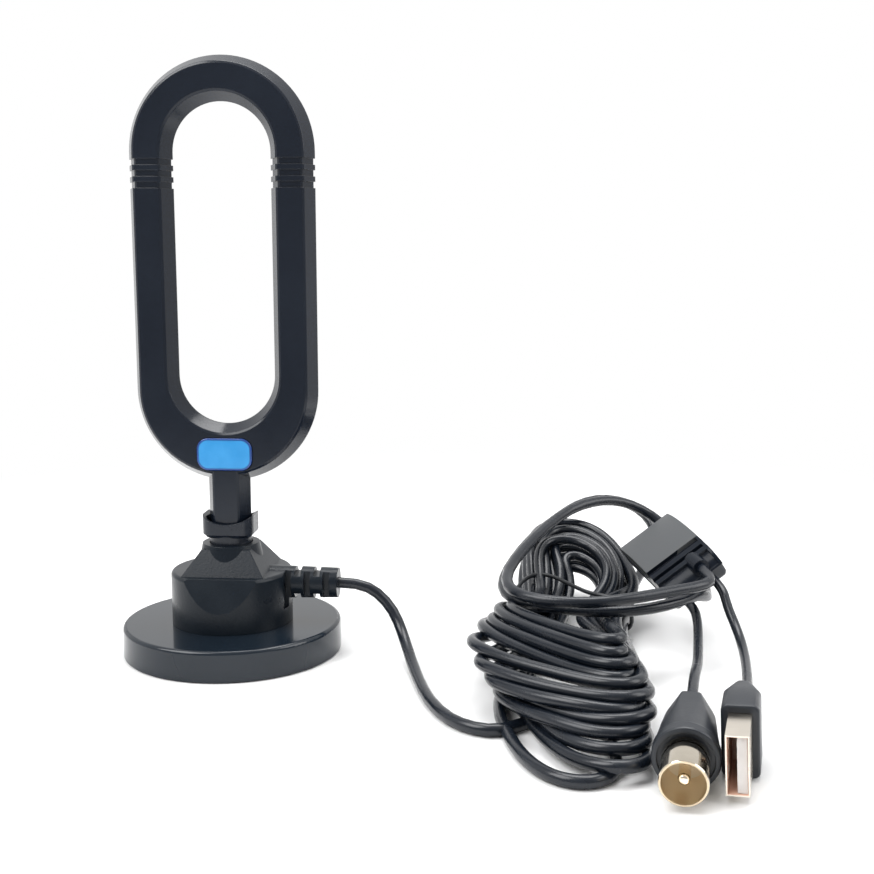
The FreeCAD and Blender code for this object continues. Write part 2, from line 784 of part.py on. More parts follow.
amp_shell = cut("amp_shell", amp_full, step_tool, cover_hollow)
amp_cover = node("amp_cover", fuse("amp_cover", amp_shell, boss))
tray_block = box(
    "tray_block",
    (-size("box_back"), -half_box, -size("box_height")),
    (size("box_front"), half_box, -size("box_split")))


def tray_edges(edge):
    low = edge.BoundBox.ZMax < 0.01 - size("box_height").value
    upright = edge.BoundBox.ZLength > 1.0
    return low or upright


tray_soft = rounded("tray_soft", tray_block, size("box_edge_round"), tray_edges)
tray_hollow = box(
    "tray_hollow",
    (hollow_wall - size("box_back"), hollow_wall - half_box, hollow_wall - size("box_height")),
    (size("box_front") - hollow_wall, half_box - hollow_wall, 1.0))
tray_shell = cut("tray_shell", tray_soft, tray_hollow)
board_low = -size("board_drop") - size("board_thickness")
rests = []
for i, place in enumerate((-11.0, 8.0)):
    rests.append(box(
        "board_rest_%d" % i,
        (place, hollow_wall - half_box - 0.2, hollow_wall - size("box_height") - 0.2),
        (size("board_rest_width") + place, half_box - hollow_wall + 0.2, board_low)))
amp_tray = node("amp_tray", fuse("amp_tray", tray_shell, *rests))
board_side = half_box - hollow_wall - size("board_gap")
board_block = box(
    "board_block",
    (hollow_wall - size("box_back") + size("board_gap"), -board_side, board_low),
    (size("box_front") - hollow_wall - size("board_gap"), board_side, -size("board_drop")))
amp_board = node("amp_board", group("amp_board", board_block))
board_top = -size("board_drop")
chip = box("chip", (-3.0, -2.5, board_top), (2.0, 2.5, board_top + 1.2))
can = cylinder("can", 4.0, 2.6, x=-9.0, y=-3.0, z=board_top)
coil = cylinder("coil", 3.0, 2.0, x=6.5, y=3.0, z=board_top)
jack = box("jack", (-14.0, 1.0, board_top), (-8.0, 5.5, board_top + 2.4))
amp_parts = node("amp_parts", group("amp_parts", chip, can, coil, jack))
for piece in (amp_cover, amp_tray, amp_board, amp_parts):
    piece.Placement = box_home

# Aerial plug, drawn with its mating end up and then laid down
def lying(turn, dip):
    flat = math.cos(math.radians(dip))
    aim = V(
        -math.cos(math.radians(turn)) * flat,
        math.sin(math.radians(turn)) * flat,
        math.sin(math.radians(dip)))
    return FreeCAD.Rotation(aim.cross(V(0, 0, 1)), V(0, 0, 1), aim, "ZYX")


aerial_lay = lying(size("aerial_turn").value, size("aerial_dip").value)
aerial_at = V(size("aerial_x").value, size("aerial_y").value, size("aerial_z").value)
aerial_home = FreeCAD.Placement(aerial_at, aerial_lay)
shell_r = size("aerial_shell_diameter") / 2
shell_in = shell_r - size("aerial_shell_wall")
shell_rear = shell_r - size("aerial_shell_step")
pin_r = size("aerial_pin_diameter") / 2
seat_low = -size("aerial_shell_seat")
flange_r = size("aerial_flange_diameter") / 2
flange_low = -size("aerial_flange_length")
tail_r = size("aerial_tail_diameter") / 2
tail_low = -size("aerial_grip_length")
recess_r = shell_r + size("aerial_face_gap")
grip_round = turned("aerial_grip_round", [
    (0, tail_low),
    (tail_r, tail_low),
    (flange_r, flange_low),
    (flange_r, 0),
    (recess_r, 0),
    (recess_r, -size("aerial_face_recess")),
    (shell_rear, -size("aerial_face_recess")),
    (shell_rear, seat_low),
    (0, seat_low),
], [(size("aerial_flange_round"), ring_edge(flange_r, as_size(0.0)))])
flat_low = -size("aerial_flat_start")
flat_share = (flat_low - flange_low) / (tail_low - flange_low)
flat_high = flange_r + (tail_r - flange_r) * flat_share
flats = []
for i, side in enumerate((1, -1)):
    for j, turn in enumerate((size("aerial_flat_turn").value, 180.0 - size("aerial_flat_turn").value)):
        aim = FreeCAD.Rotation(V(0, 0, 1), 90.0 - turn * side).multVec(V(1, 0, 0))
        across = aim.cross(V(0, 0, 1))
        lay_flat = FreeCAD.Rotation(aim, V(0, 0, 1), across, "ZXY")
        wedge = polygon(sketch("aerial_flat_line_%d%d" % (i, j), turn=lay_flat), [
            (flat_high, flat_low),
            (size("aerial_flat_tail"), tail_low),
            (size("aerial_flat_tail"), tail_low - 1.0),
            (flange_r + 1.0, tail_low - 1.0),
            (flange_r + 1.0, flat_low),
        ])
        flat = extrude("aerial_flat_%d%d" % (i, j), wedge, size("aerial_flange_diameter"), across)
        flat.Symmetric = True
        flats.append(flat)
aerial_nodes = [node("aerial_grip", cut("aerial_grip", grip_round, *flats))]
shell_top = size("aerial_shell_length")
aerial_nodes.append(node("aerial_shell", turned("aerial_shell", [
    (shell_in, seat_low),
    (shell_rear, seat_low),
    (shell_rear, 0),
    (shell_r, 0),
    (shell_r, shell_top - 0.3),
    (shell_r - 0.2, shell_top),
    (shell_in, shell_top),
])))
aerial_nodes.append(node("aerial_insulator", turned("aerial_insulator", [
    (pin_r, seat_low),
    (shell_in, seat_low),
    (shell_in, -0.8),
    (pin_r, -0.8),
])))
pin_top = size("aerial_pin_reach")
aerial_nodes.append(node("aerial_pin", turned("aerial_pin", [
    (0, seat_low),
    (pin_r, seat_low),
    (pin_r, pin_top),
    (0, pin_top),
], [(pin_r * 0.8, ring_edge(pin_r, pin_top))])))
for piece in aerial_nodes:
    piece.Placement = aerial_home

# Power plug, drawn with its mating end up and then laid on its narrow side
roll = math.radians(size("usb_roll").value)
usb_tilt = FreeCAD.Rotation(V(0, 0, 1), size("usb_roll").value)
usb_lay = lying(size("usb_turn").value, 0.0).multiply(usb_tilt)
grip_core = size("usb_grip_round") * 2
usb_rise = (
    (size("usb_grip_width") - grip_core).value / 2 * math.cos(roll)
    + (size("usb_grip_thickness") - grip_core).value / 2 * math.sin(abs(roll))
    + size("usb_grip_round").value + size("floor_gap").value)
usb_home = FreeCAD.Placement(V(size("usb_x").value, size("usb_y").value, usb_rise), usb_lay)
half_t = size("usb_shell_thickness") / 2
half_u = size("usb_shell_width") / 2
usb_wall = size("usb_shell_wall")
usb_seat = -size("usb_shell_seat")
usb_top = size("usb_shell_length")
shell_block = box("usb_shell_block", (-half_t, -half_u, usb_seat), (half_t, half_u, usb_top))
shell_core = box(
    "usb_shell_core", (usb_wall - half_t, usb_wall - half_u, usb_seat - 1.0),
    (half_t - usb_wall, half_u - usb_wall, usb_top + 1.0))
windows = []
for i, side in enumerate((-1.0, 1.0)):
    middle = size("usb_window_side") * side
    low = size("usb_window_reach")
    windows.append(box(
        "usb_window_%d" % i,
        (-half_t - 1.0, middle - size("usb_window_width") / 2, low),
        (half_t + 1.0, middle + size("usb_window_width") / 2, low + size("usb_window_length"))))
usb_nodes = [node("usb_shell", cut("usb_shell", shell_block, shell_core, *windows))]
grip_t = size("usb_grip_thickness") / 2
grip_u = size("usb_grip_width") / 2
grip_block = box("usb_grip_block", (-grip_t, -grip_u, -size("usb_grip_length")), (grip_t, grip_u, 0.0))


def grip_edges(edge):
    return edge.BoundBox.ZLength > 1.0


grip_soft = rounded("usb_grip_soft", grip_block, size("usb_grip_round"), grip_edges)
grip_rear = -size("usb_grip_length")
shoulder = grip_rear + size("usb_shoulder")
LAY_XZ = FreeCAD.Rotation(V(1, 0, 0), 90)
LAY_YZ = FreeCAD.Rotation(V(1, 1, 1), 120)
grip_cuts = [box("usb_grip_hole", (-half_t, -half_u, usb_seat), (half_t, half_u, 1.0))]
for name, turn, way, half, rear, reach in (
        ("usb_cheek", LAY_XZ, V(0, 1, 0), grip_t, size("usb_rear_thickness") / 2, size("usb_grip_width")),
        ("usb_brow", LAY_YZ, V(1, 0, 0), grip_u, size("usb_rear_width") / 2, size("usb_grip_thickness"))):
    for i, side in enumerate((1.0, -1.0)):
        wedge = polygon(sketch("%s_line_%d" % (name, i), turn=turn), [
            (half * side, shoulder),
            (rear * side, grip_rear),
            (rear * side, grip_rear - 1.0),
            ((half + 1.0) * side, grip_rear - 1.0),
            ((half + 1.0) * side, shoulder),
        ])
        cheek = extrude("%s_%d" % (name, i), wedge, reach * 2, way)
        cheek.Symmetric = True
        grip_cuts.append(cheek)
usb_nodes.append(node("usb_grip", cut("usb_grip", grip_soft, *grip_cuts)))
tongue_low = half_t - usb_wall - size("usb_tongue_gap")
tongue_side = half_u - usb_wall - size("usb_tongue_gap")
tongue_face = tongue_low - size("usb_tongue_thickness")
tongue = box("tongue", (tongue_face, -tongue_side, usb_seat), (tongue_low, tongue_side, usb_top - 0.6))
usb_nodes.append(node("usb_tongue", group("usb_tongue", tongue)))
contacts = []
for i in range(4):
    middle = size("usb_contact_pitch") * (i - 1.5)
    contacts.append(box(
        "usb_contact_%d" % i,
        (tongue_face - size("usb_contact_thickness"), middle - size("usb_contact_width") / 2,
         usb_top - size("usb_contact_inset") - size("usb_contact_length")),
        (tongue_face, middle + size("usb_contact_width") / 2, usb_top - size("usb_contact_inset"))))
usb_nodes.append(node("usb_contacts", group("usb_contacts", *contacts)))
for piece in usb_nodes:
    piece.Placement = usb_home

# Wound lead as one solid of its outer shape: station, left, right, low, high
HANK = [
    (-85.0, 84.0, 97.0, 0.0, 4.0),
    (-70.0, 72.0, 102.0, 0.0, 8.0),
    (-45.0, 64.0, 107.5, 0.0, 11.0),
    (-15.0, 62.0, 108.0, 0.0, 12.0),
    (10.0, 70.0, 108.0, 0.0, 12.0),
    (35.0, 79.0, 108.0, 0.0, 16.0),
    (58.0, 80.0, 110.0, 6.0, 26.0),
    (68.0, 86.0, 106.0, 13.0, 25.0),
]


def hank_section(left, right, low, high, station):
    edge = min(right - left, high - low) * 0.4
    wire_points = [
        (left + edge, low), (right - edge, low), (right, low + edge), (right, high - edge),
        (right - edge, high), (left + edge, high), (left, high - edge), (left, low + edge),
    ]
    ring_points = [V(x, station, z) for x, z in wire_points]
    return Part.makePolygon(ring_points + ring_points[:1])


sections = [hank_section(a, b, c, d, y) for y, a, b, c, d in HANK]
hank = Part.makeLoft(sections, True, True)
node("lead_hank", feature("lead_hank", hank))

# Wire tie over the wound lead, from floor to floor
def hank_at(station):
    for low, high in zip(HANK, HANK[1:]):
        if low[0] <= station <= high[0]:
            share = (station - low[0]) / (high[0] - low[0])
            return [a + (b - a) * share for a, b in zip(low[1:], high[1:])]


tie_r = size("tie_diameter").value / 2
tie_off = size("tie_gap").value + tie_r
tie_y = size("tie_station").value
left, right, low, high = hank_at(tie_y)
bend = min(right - left, high - low) * 0.4
left, right, high = left - tie_off, right + tie_off, high + tie_off
tie_points = [
    (left, tie_y, tie_r), (left, tie_y, high - bend), (left + bend, tie_y, high),
    (right - bend, tie_y, high), (right, tie_y, high - bend), (right, tie_y, tie_r),
]
node("hank_tie", feature("hank_tie", lead_tube("hank_tie", tie_points, tie_r)))

# Free runs of the leads; each starts or ends on the piece it is fixed to
aerial_rear = aerial_home.multVec(V(0, 0, -size("aerial_grip_length").value))
usb_rear = usb_home.multVec(V(0, 0, -size("usb_grip_length").value))
boss_face = box_home.multVec(V(size("boss_reach").value, size("boss_side").value, size("boss_rise").value))
box_way = lay.multVec(V(1, 0, 0))
boss_step = box_way * size("boss_run").value
exit_step = box_way * size("exit_run").value
aerial_step = aerial_lay.multVec(V(0, 0, size("plug_run").value))
usb_step = usb_lay.multVec(V(0, 0, size("plug_run").value))
exit_front = size("box_front").value
aerial_exit = box_home.multVec(V(exit_front, -size("exit_aerial_side").value, -size("exit_drop").value))
usb_exit = box_home.multVec(V(exit_front, size("exit_usb_side").value, -size("exit_drop").value))
TAIL = [
    feed_points[0], (33.6, 0.0, relief_z.value), (38.8, -0.1, 15.9), (43.0, -0.8, 11.2), (45.6, -4.0, 6.4),
    (48.2, -11.5, 2.9), (51.6, -25.0, 1.5), (55.6, -38.6, 1.5), (60.6, -47.6, 1.5),
    (66.6, -52.9, 1.5), (71.6, -54.4, 1.5),
]
LOOP = [
    (104.6, 42.0, 14.0), (106.9, 44.6, 19.4), (108.6, 50.4, 24.2), (108.4, 58.0, 27.2),
    (106.6, 64.2, 28.8), (101.8, 68.0, 29.8), (96.0, 68.0, 30.2), (91.4, 64.6, 29.9),
    (88.0, 57.6, 28.9), (84.6, 47.6, 27.2), (80.6, 36.4, 24.9), (76.2, 24.5, 22.5),
    (72.2, 12.4, 19.2), (71.0, 2.6, 17.2), (73.8, -5.0, 16.2), (80.8, -9.6, 16.0),
    (90.9, -13.4, 16.0), (100.0, -14.2, 16.2), (108.6, -11.6, 16.4), (116.0, -6.4, 16.9),
    (121.2, 0.0, 17.0), (124.6, 5.6, 15.0), (125.8, 12.8, 13.2), (126.2, 21.2, 14.2),
    (125.4, 30.0, 16.2), (123.4, 38.4, 19.4), (119.6, 45.2, 23.4), (114.2, 48.8, 27.4),
    (108.0, 47.6, 30.8), (102.2, 44.2, 32.6), (96.4, 39.6, 33.0), (89.7, 33.6, 32.0),
    (82.5, 23.2, 28.8), (76.4, 11.0, 25.2), (72.4, -0.6, 22.2), (72.8, -9.8, 20.5),
    (77.4, -16.2, 20.0), (84.6, -19.4, 19.9), (93.0, -20.0, 20.0), (101.4, -17.2, 20.2),
    (109.2, -12.6, 20.4), (116.0, -8.8, 20.7), (122.8, -5.2, 21.0),
    tuple(boss_face + boss_step), tuple(boss_face),
]
AERIAL = [
    tuple(aerial_exit), tuple(aerial_exit + exit_step), (121.8, -4.4, 11.2), (121.2, -11.4, 9.5),
    (119.8, -20.2, 8.8), (117.8, -30.0, 8.8), tuple(aerial_rear - aerial_step), tuple(aerial_rear),
]
USB = [
    tuple(usb_exit), tuple(usb_exit + exit_step), (130.0, -2.2, 14.6), (131.8, -6.4, 10.6),
    (132.2, -12.4, 8.0), (130.6, -20.4, 7.2), (127.6, -28.0, 7.2), (126.0, -36.6, 7.4),
    tuple(usb_rear - usb_step), tuple(usb_rear),
]
RUNS = (
    ("lead_tail", TAIL, lead_r), ("lead_loop", LOOP, lead_r),
    ("aerial_lead", AERIAL, branch_r), ("usb_lead", USB, branch_r))
for label, points, radius in RUNS:
    tube = lead_tube(label, points, radius.value)
    if label in ("lead_tail", "lead_loop"):
        tube = tube.cut(hank)
    node(label, feature(label, tube))
    print(label, "from %.2f %.2f %.2f" % tuple(points[0]), "to %.2f %.2f %.2f" % tuple(points[-1]))

# Checks, then one file per piece
doc.recompute()
for obj in doc.Objects:
    if "Invalid" in obj.State or "Error" in obj.State:
        raise RuntimeError("%s is %s" % (obj.Name, obj.State))
for obj in nodes:
    if obj.Shape.isNull() or not obj.Shape.isValid():
        raise RuntimeError("%s has no valid shape" % obj.Label)
os.makedirs("parts", exist_ok=True)
for obj in nodes:
    limits = obj.Shape.optimalBoundingBox(True, False)
    print("%-18s solids %d volume %.1f x %.1f..%.1f y %.1f..%.1f z %.2f..%.2f" % (
        obj.Label, len(obj.Shape.Solids), obj.Shape.Volume, limits.XMin, limits.XMax,
        limits.YMin, limits.YMax, limits.ZMin, limits.ZMax))
    obj.Shape.exportStep("parts/%s.step" % obj.Label)
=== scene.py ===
import math
import bpy
import numpy as np
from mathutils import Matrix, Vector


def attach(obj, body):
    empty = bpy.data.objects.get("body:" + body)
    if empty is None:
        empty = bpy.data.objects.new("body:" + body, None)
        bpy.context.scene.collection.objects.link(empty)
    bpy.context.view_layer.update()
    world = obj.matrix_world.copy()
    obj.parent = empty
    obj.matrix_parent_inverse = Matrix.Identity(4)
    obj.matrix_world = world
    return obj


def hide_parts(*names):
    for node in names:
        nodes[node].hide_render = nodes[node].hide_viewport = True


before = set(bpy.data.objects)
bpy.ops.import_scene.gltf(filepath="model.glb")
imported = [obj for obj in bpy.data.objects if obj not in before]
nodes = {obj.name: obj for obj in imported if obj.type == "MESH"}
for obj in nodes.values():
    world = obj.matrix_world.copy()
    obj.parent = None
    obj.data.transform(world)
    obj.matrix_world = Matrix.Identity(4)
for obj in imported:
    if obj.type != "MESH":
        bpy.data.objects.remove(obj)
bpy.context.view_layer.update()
scene = bpy.context.scene
scene.view_settings.view_transform = "Standard"
scene.view_settings.look = "None"
print("stage: frame loaded")


# places in the looks are metres in the frame, and forms and routes are millimetres
perMetre = 1000
noiseForm = {"patchDetail": 4.0, "grainDetail": 3.0, "low": 0.3, "high": 0.7, "edgeSamples": 6}


def newMaterial(name):
    material = bpy.data.materials.new(name)
    material.use_nodes = True
    tree = material.node_tree
    tree.nodes.clear()
    output = tree.nodes.new("ShaderNodeOutputMaterial")
    surface = tree.nodes.new("ShaderNodeBsdfPrincipled")
    tree.links.new(surface.outputs["BSDF"], output.inputs["Surface"])
    return material, tree, surface


def innards(material):
    tree = material.node_tree
    return tree, next(n for n in tree.nodes if n.type == "BSDF_PRINCIPLED")


def mathNode(tree, operation, first, second=None):
    node = tree.nodes.new("ShaderNodeMath")
    node.operation = operation
    for socket, value in zip(node.inputs, (first, second)):
        if isinstance(value, (int, float)):
            socket.default_value = value
        elif value is not None:
            tree.links.new(value, socket)
    return node.outputs["Value"]


def vectorNode(tree, operation, first, second=None):
    node = tree.nodes.new("ShaderNodeVectorMath")
    node.operation = operation
    tree.links.new(first, node.inputs[0])
    if second is not None:
        node.inputs[1].default_value = second
    return node


def rangeNode(tree, source, fromLow, fromHigh, toLow, toHigh, smooth=False):
    node = tree.nodes.new("ShaderNodeMapRange")
    if smooth:
        node.interpolation_type = "SMOOTHSTEP"
    limits = {"From Min": fromLow, "From Max": fromHigh, "To Min": toLow, "To Max": toHigh}
    for name, value in limits.items():
        node.inputs[name].default_value = value
    tree.links.new(source, node.inputs["Value"])
    return node.outputs["Result"]


def noiseNode(tree, scale, detail, stretch=None):
    place = tree.nodes.new("ShaderNodeTexCoord").outputs["Object"]
    noise = tree.nodes.new("ShaderNodeTexNoise")
    noise.inputs["Scale"].default_value = scale
    noise.inputs["Detail"].default_value = detail
    if stretch is not None:  # a metal's pattern can be drawn out along an axis
        mapping = tree.nodes.new("ShaderNodeMapping")
        mapping.inputs["Scale"].default_value = stretch
        tree.links.new(place, mapping.inputs["Vector"])
        place = mapping.outputs["Vector"]
    tree.links.new(place, noise.inputs["Vector"])
    return noise.outputs["Fac"]


def tint(tree, source, dark, light):
    ramp = tree.nodes.new("ShaderNodeValToRGB")
    for index, (position, colour) in enumerate(((noiseForm["low"], dark), (noiseForm["high"], light))):
        ramp.color_ramp.elements[index].position = position
        ramp.color_ramp.elements[index].color = (*colour, 1.0)
    tree.links.new(source, ramp.inputs["Fac"])
    return ramp.outputs["Color"]


def grain(tree, surface, look):
    noise = noiseNode(tree, look["grainScale"], noiseForm["grainDetail"], look.get("stretch"))
    bump = tree.nodes.new("ShaderNodeBump")
    bump.inputs["Strength"].default_value = look["grainStrength"]
    bump.inputs["Distance"].default_value = look["grainDepth"]
    if "edge" in look:  # edges catch the light as if slightly rounded
        rounded = tree.nodes.new("ShaderNodeBevel")
        rounded.samples = noiseForm["edgeSamples"]
        rounded.inputs["Radius"].default_value = look["edge"]
        tree.links.new(rounded.outputs["Normal"], bump.inputs["Normal"])
    tree.links.new(noise, bump.inputs["Height"])
    tree.links.new(bump.outputs["Normal"], surface.inputs["Normal"])


# colour and roughness wander between two values, over a fine grain
def patchy(look):
    material, tree, surface = newMaterial(look["name"])
    patches = noiseNode(tree, look["patchScale"], noiseForm["patchDetail"], look.get("stretch"))
    tree.links.new(tint(tree, patches, look["dark"], look["light"]), surface.inputs["Base Color"])
    rough = rangeNode(
        tree, patches, noiseForm["low"], noiseForm["high"], look["roughLow"], look["roughHigh"])
    tree.links.new(rough, surface.inputs["Roughness"])
    grain(tree, surface, look)
    return material, surface


def plastic(look):
    material, surface = patchy(look)
    surface.inputs["Specular IOR Level"].default_value = look["specular"]
    surface.inputs["Coat Weight"].default_value = look["coat"]
    surface.inputs["Coat Roughness"].default_value = look["coatRough"]
    return material


def metal(look):
    material, surface = patchy(look)
    surface.inputs["Metallic"].default_value = 1.0
    return material


def placeFrom(tree, home):
    coordinates = tree.nodes.new("ShaderNodeTexCoord")
    return vectorNode(tree, "SUBTRACT", coordinates.outputs["Object"], home).outputs["Vector"]


def alongAxis(tree, home, axis):
    return vectorNode(tree, "DOT_PRODUCT", placeFrom(tree, home), axis).outputs["Value"]


def offAxis(tree, home, axis):
    turned = vectorNode(tree, "CROSS_PRODUCT", placeFrom(tree, home), axis).outputs["Vector"]
    return vectorNode(tree, "LENGTH", turned).outputs["Value"]


# another colour and roughness where the mask is 1
def overpaint(tree, surface, mask, colour, rough=None):
    for name, value in (("Base Color", colour), ("Roughness", rough)):
        if value is None:
            continue
        isColour = name == "Base Color"
        mix = tree.nodes.new("ShaderNodeMix")
        mix.data_type = "RGBA" if isColour else "FLOAT"
        ends = {s.name: s for s in mix.inputs if s.enabled}
        tree.links.new(mask, ends["Factor"])
        tree.links.new(surface.inputs[name].links[0].from_socket, ends["A"])
        ends["B"].default_value = (*colour, 1.0) if isColour else rough
        result = next(s for s in mix.outputs if s.enabled)
        tree.links.new(result, surface.inputs[name])


def dress(nodeName, material):
    mesh = nodes[nodeName].data
    mesh.materials.clear()
    mesh.materials.append(material)


# both halves of the loop, glossy
loopLook = {
    "name": "loopPlastic", "dark": (0.006, 0.0092, 0.0165), "light": (0.0085, 0.0125, 0.021),
    "roughLow": 0.12, "roughHigh": 0.2, "patchScale": 60.0, "specular": 0.33, "coat": 0.0, "coatRough": 0.08,
    "grainScale": 900.0, "grainStrength": 0.05, "grainDepth": 0.0002, "edge": 0.0003,
}
loopPlastic = plastic(loopLook)
dress("loop_front_cover", loopPlastic)
dress("loop_rear_cover", loopPlastic)

# metal ring inside the loop
elementLook = {
    "name": "elementMetal", "dark": (0.55, 0.55, 0.56), "light": (0.7, 0.7, 0.71),
    "roughLow": 0.25, "roughHigh": 0.4, "patchScale": 80.0, "stretch": (1.0, 1.0, 0.2),
    "grainScale": 600.0, "grainStrength": 0.1, "grainDepth": 0.0001,
}
dress("loop_element", metal(elementLook))

# neck and collar round the stem
socketLook = {
    "name": "socketPlastic", "dark": (0.007, 0.0105, 0.0175), "light": (0.01, 0.014, 0.0225),
    "roughLow": 0.24, "roughHigh": 0.34, "patchScale": 120.0, "specular": 0.4, "coat": 0.0, "coatRough": 0.2,
    "grainScale": 1500.0, "grainStrength": 0.12, "grainDepth": 0.0002, "edge": 0.0003,
}
dress("stem_socket", plastic(socketLook))

# drum, roof and strain relief, satin
bodyLook = {
    "name": "bodyPlastic", "dark": (0.005, 0.0085, 0.0135), "light": (0.0075, 0.0118, 0.0175),
    "roughLow": 0.26, "roughHigh": 0.36, "patchScale": 90.0, "specular": 0.24, "coat": 0.0, "coatRough": 0.2,
    "grainScale": 1800.0, "grainStrength": 0.18, "grainDepth": 0.0002, "edge": 0.0003,
}
dress("base_body", plastic(bodyLook))

# round foot, glossy
coverLook = {
    "name": "footPlastic", "dark": (0.0065, 0.0115, 0.0185), "light": (0.0095, 0.0155, 0.0235),
    "roughLow": 0.08, "roughHigh": 0.15, "patchScale": 50.0, "specular": 0.42, "coat": 0.0, "coatRough": 0.05,
    "grainScale": 700.0, "grainStrength": 0.03, "grainDepth": 0.0002,
}
dress("base_cover", plastic(coverLook))

# rubber under the foot
padLook = {
    "name": "padRubber", "dark": (0.02, 0.02, 0.022), "light": (0.035, 0.035, 0.038),
    "roughLow": 0.7, "roughHigh": 0.85, "patchScale": 200.0, "specular": 0.3, "coat": 0.0, "coatRough": 0.5,
    "grainScale": 2500.0, "grainStrength": 0.4, "grainDepth": 0.0003,
}
dress("base_pad", plastic(padLook))

# ring magnet, dull grey
magnetLook = {
    "name": "magnetFerrite", "dark": (0.03, 0.03, 0.032), "light": (0.06, 0.06, 0.063),
    "roughLow": 0.5, "roughHigh": 0.7, "patchScale": 300.0, "stretch": (1.0, 1.0, 1.0),
    "grainScale": 1200.0, "grainStrength": 0.2, "grainDepth": 0.0002,
}
dress("base_magnet", metal(magnetLook))

# screw in the foot, bright steel
screwLook = {
    "name": "screwSteel", "dark": (0.5, 0.5, 0.52), "light": (0.65, 0.65, 0.67),
    "roughLow": 0.2, "roughHigh": 0.35, "patchScale": 400.0, "stretch": (1.0, 1.0, 0.3),
    "grainScale": 1500.0, "grainStrength": 0.1, "grainDepth": 0.0001,
}
dress("base_screw", metal(screwLook))

# all the leads
jacketLook = {
    "name": "leadJacket", "dark": (0.0045, 0.0072, 0.0125), "light": (0.0075, 0.0108, 0.017),
    "roughLow": 0.22, "roughHigh": 0.3, "patchScale": 140.0, "specular": 0.46, "coat": 0.0, "coatRough": 0.3,
    "grainScale": 1600.0, "grainStrength": 0.1, "grainDepth": 0.0002,
}
leadJacket = plastic(jacketLook)
dress("feed_cable", leadJacket)

# lower half of the amplifier box
boxLook = {
    "name": "boxPlastic", "dark": (0.008, 0.011, 0.017), "light": (0.012, 0.0155, 0.022),
    "roughLow": 0.36, "roughHigh": 0.46, "patchScale": 110.0, "specular": 0.5, "coat": 0.0, "coatRough": 0.3,
    "grainScale": 2200.0, "grainStrength": 0.2, "grainDepth": 0.0002,
}
boxPlastic = plastic(boxLook)
dress("amp_tray", boxPlastic)

# upper half of the box, with the flat behind its step painted greyer: a painted sheen standing in for the
# light that flat reflects
roofLook = {
    "name": "boxRoof", "dark": (0.006, 0.0088, 0.015), "light": (0.009, 0.0125, 0.019),
    "roughLow": 0.16, "roughHigh": 0.26, "patchScale": 110.0, "specular": 0.16, "coat": 0.0, "coatRough": 0.3,
    "grainScale": 2200.0, "grainStrength": 0.12, "grainDepth": 0.0002, "edge": 0.0003,
    "home": (0.11639, 0.01956, 0.0225), "way": (0.3108, -0.9383, -0.1516), "up": (-0.524, -0.302, 0.796),
    "stepStart": 0.0046, "flatFrom": -0.0004, "grey": (0.096, 0.101, 0.106), "greyRough": 0.5,
}
boxRoof = plastic(roofLook)
roofTree, roofSurface = innards(boxRoof)
roofReach = alongAxis(roofTree, roofLook["home"], roofLook["way"])
behindStep = mathNode(roofTree, "LESS_THAN", roofReach, roofLook["stepStart"])
roofRise = alongAxis(roofTree, roofLook["home"], roofLook["up"])
aboveFlat = mathNode(roofTree, "GREATER_THAN", roofRise, roofLook["flatFrom"])
sheenOnFlat = mathNode(roofTree, "MULTIPLY", behindStep, aboveFlat)
# painted sheen: a matte lighter grey on the flat in place of the light it catches
overpaint(roofTree, roofSurface, sheenOnFlat, roofLook["grey"], roofLook["greyRough"])
dress("amp_cover", boxRoof)

# green board inside the box
boardLook = {
    "name": "circuitBoard", "dark": (0.01, 0.09, 0.04), "light": (0.016, 0.13, 0.06),
    "roughLow": 0.3, "roughHigh": 0.45, "patchScale": 300.0, "specular": 0.5, "coat": 0.2, "coatRough": 0.2,
    "grainScale": 1500.0, "grainStrength": 0.1, "grainDepth": 0.0001,
}
dress("amp_board", plastic(boardLook))

# components on the board
partsLook = {
    "name": "circuitParts", "dark": (0.015, 0.015, 0.016), "light": (0.03, 0.03, 0.032),
    "roughLow": 0.4, "roughHigh": 0.55, "patchScale": 400.0, "specular": 0.4, "coat": 0.0, "coatRough": 0.3,
    "grainScale": 2000.0, "grainStrength": 0.1, "grainDepth": 0.0001,
}
dress("amp_parts", plastic(partsLook))

# both plugs' grips, and the usb one is painted paler inside its mouth, painted light standing in for light
# reaching in
gripLook = {
    "name": "gripPlastic", "dark": (0.009, 0.0122, 0.018), "light": (0.0135, 0.0172, 0.0235),
    "roughLow": 0.32, "roughHigh": 0.44, "patchScale": 130.0, "specular": 0.5, "coat": 0.0, "coatRough": 0.3,
    "grainScale": 2000.0, "grainStrength": 0.18, "grainDepth": 0.0002, "edge": 0.0002,
}
gripPlastic = plastic(gripLook)

# painted light: the usb grip's mouth gets a pale warm colour so the recess reads lit
usbGripLook = dict(gripLook, name="usbGripPlastic", hollow=(0.94, 0.68, 0.55))
usbGrip = plastic(usbGripLook)

# pin and contacts, pale gold
goldLook = {
    "name": "plugGold", "dark": (0.88, 0.78, 0.62), "light": (0.95, 0.86, 0.72),
    "roughLow": 0.12, "roughHigh": 0.22, "patchScale": 180.0, "stretch": (1.0, 1.0, 1.0),
    "grainScale": 900.0, "grainStrength": 0.04, "grainDepth": 0.0001,
}
plugGold = metal(goldLook)
dress("aerial_pin", plugGold)
dress("usb_contacts", plugGold)
